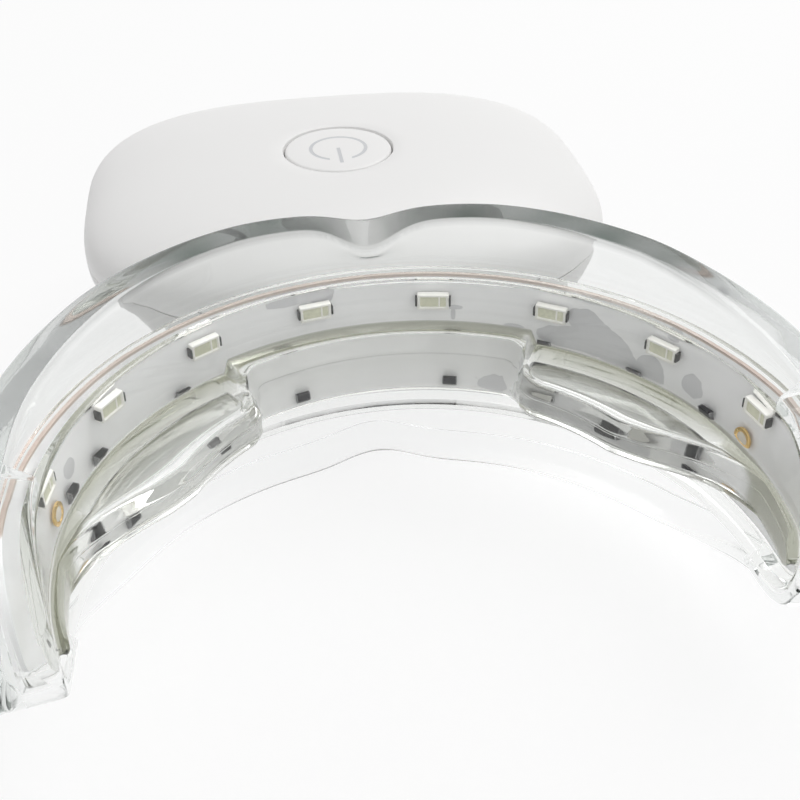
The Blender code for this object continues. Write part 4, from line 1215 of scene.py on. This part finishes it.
hiddenSatins = {
    # finish, colour, roughness, grain, depth of the grain, drift of the tone
    "controller_chip": ("chipBlack", (0.03, 0.03, 0.032), 0.45, 2200, 0.000006, 0.008),
    "charger_chip": ("chargerBlack", (0.035, 0.035, 0.035), 0.42, 2200, 0.000006, 0.008),
    "power_inductor": ("ferriteGrey", (0.14, 0.14, 0.15), 0.62, 1500, 0.00001, 0.03),
    "strip_connector": ("connectorCream", (0.82, 0.79, 0.70), 0.5, 1200, 0.000008, 0.03),
    "battery_pad": ("padFoam", (0.22, 0.22, 0.23), 0.9, 1400, 0.00005, 0.05),
    "housing_gasket": ("gasketRubber", (0.50, 0.51, 0.52), 0.65, 1400, 0.000012, 0.03),
    "switch_body": ("switchBlack", (0.04, 0.04, 0.045), 0.5, 1800, 0.000008, 0.01),
    "switch_plunger": ("plungerCream", (0.80, 0.78, 0.72), 0.5, 1800, 0.000008, 0.02),
}
hiddenLooks = {name: makeSatin(*values) for name, values in hiddenSatins.items()}
hiddenLooks.update(flex_tail=makeTailLook(), main_board=makeBoardLook(), battery_cell=makeFoilLook(),
                   charge_socket=makeMetal("socketSteel", (0.62, 0.62, 0.64), 0.28))
for name, look in hiddenLooks.items():
    wear(nodes[name], look)
print("hidden parts dressed:", len(hiddenLooks))

# floor, light and camera

stageForm = {
    "floor": (0.93, 0.93, 0.93),
    "floorGlow": 0.85,       # how much of what is seen of the floor is plain white
    "skyLight": 0.42,
    "radius": 2.4,
    "under": 0.00005,        # the floor lies just under the rim that stands on it
    "target": (0, 0, 0.01),
    # place, size and power of each soft lamp
    "lamps": {"keyBox": ((0.22, 0.20, 0.52), (0.5, 0.4), 1.85),
              "fillBox": ((0.12, -0.42, 0.34), (0.4, 0.3), 0.30)},
    "bounces": 24,           # light stays trapped in clear rubber for many turns before it leaves
    "clearBounces": 20,
}


def seenDirectly(tree):
    # 1 for rays from the eye, in a reflection or through something clear
    path = addNode(tree, "ShaderNodeLightPath").outputs
    bent = mathNode("MAXIMUM", path["Is Glossy Ray"], path["Is Transmission Ray"])
    return mathNode("MAXIMUM", path["Is Camera Ray"], bent)


def makeFloor():
    # a wide flat disc; white to the eye, pale to the light
    form = stageForm
    turn = fullTurn(96)
    radius = np.array([0.00001, 0.2, 0.8, form["radius"]])[:, None]
    grid = coords(radius * np.cos(turn), radius * np.sin(turn), 0.0) - biteShift
    grid[..., 2] -= form["under"]
    floor = gridPiece("paleFloor", grid, caps=False)
    look, tree, shader = newLook("paleFloor")
    soft = noiseAt(objectPlace(tree), 40, 3)
    setInputs(shader, {
        "Base Color": mixColour(spread(soft, 0, 1), form["floor"],
                                tuple(c * 0.995 for c in form["floor"])),
        "Roughness": 0.9,
        "Specular IOR Level": 0.1,
    })
    seen = mathNode("MULTIPLY", seenDirectly(tree), form["floorGlow"])
    glow = addNode(tree, "ShaderNodeEmission", {"Color": (1, 1, 1, 1), "Strength": 1.0})
    mix = addNode(tree, "ShaderNodeMixShader", {0: seen, 1: shader.outputs[0], 2: glow.outputs[0]})
    setInputs(tree.nodes["Material Output"], {"Surface": mix.outputs[0]})
    wear(floor, look)


def makeWorld():
    # white to the eye and in reflections, softer as a source of light
    world = bpy.data.worlds.new("studio")
    bpy.context.scene.world = world
    world.use_nodes = True
    tree = world.node_tree
    tree.nodes.clear()
    strength = remap(seenDirectly(tree), 0, 1, stageForm["skyLight"], 1.0)
    back = addNode(tree, "ShaderNodeBackground", {"Color": (1, 1, 1, 1), "Strength": strength})
    addNode(tree, "ShaderNodeOutputWorld", {"Surface": back.outputs[0]})


def addSoftbox(name, place, size, power):
    light = bpy.data.lights.new(name, "AREA")
    light.shape = "RECTANGLE"
    light.size, light.size_y = size
    light.energy = power
    box = putInScene(name, light)
    box.location = place
    facing = Vector(stageForm["target"]) - Vector(place)
    box.rotation_euler = facing.to_track_quat("-Z", "Y").to_euler()


cameraForm = {
    "place": (-0.009923, -0.083237, 0.05371),   # in the bite frame
    "yaw": 0.1430,
    "pitch": 0.6200,
    "roll": -0.0190,
    "focalPixels": 1176.0,
    "imagePixels": 800.0,
    "sensor": 36.0,
}


def makeCamera():
    # looks along +Y turned by yaw to the right, pitch down, then rolled about its own axis
    form = cameraForm
    yaw, pitch, roll = form["yaw"], form["pitch"], form["roll"]
    forward = np.array([math.sin(yaw) * math.cos(pitch), math.cos(yaw) * math.cos(pitch),
                        -math.sin(pitch)])
    right = np.array([math.cos(yaw), -math.sin(yaw), 0.0])
    up = np.cross(right, forward)
    rightRolled = math.cos(roll) * right + math.sin(roll) * up
    upRolled = -math.sin(roll) * right + math.cos(roll) * up
    place = np.array(form["place"]) + biteShift
    data = bpy.data.cameras.new("photoCamera")
    data.sensor_width = form["sensor"]
    data.lens = form["focalPixels"] * form["sensor"] / form["imagePixels"]
    data.clip_start = 0.005
    camera = putInScene("photoCamera", data)
    seat = np.eye(4)
    seat[:3] = coords(rightRolled, upRolled, -forward, place)
    camera.matrix_world = Matrix(seat.tolist())
    bpy.context.scene.camera = camera


makeFloor()
makeWorld()
for name, (place, size, power) in stageForm["lamps"].items():
    addSoftbox(name, place, size, power)
makeCamera()
scene = bpy.context.scene
scene.view_settings.view_transform = "Standard"
scene.cycles.max_bounces = stageForm["bounces"]
scene.cycles.glossy_bounces = stageForm["clearBounces"]
scene.cycles.transmission_bounces = stageForm["clearBounces"]
print("stage set")

bpy.context.view_layer.update()
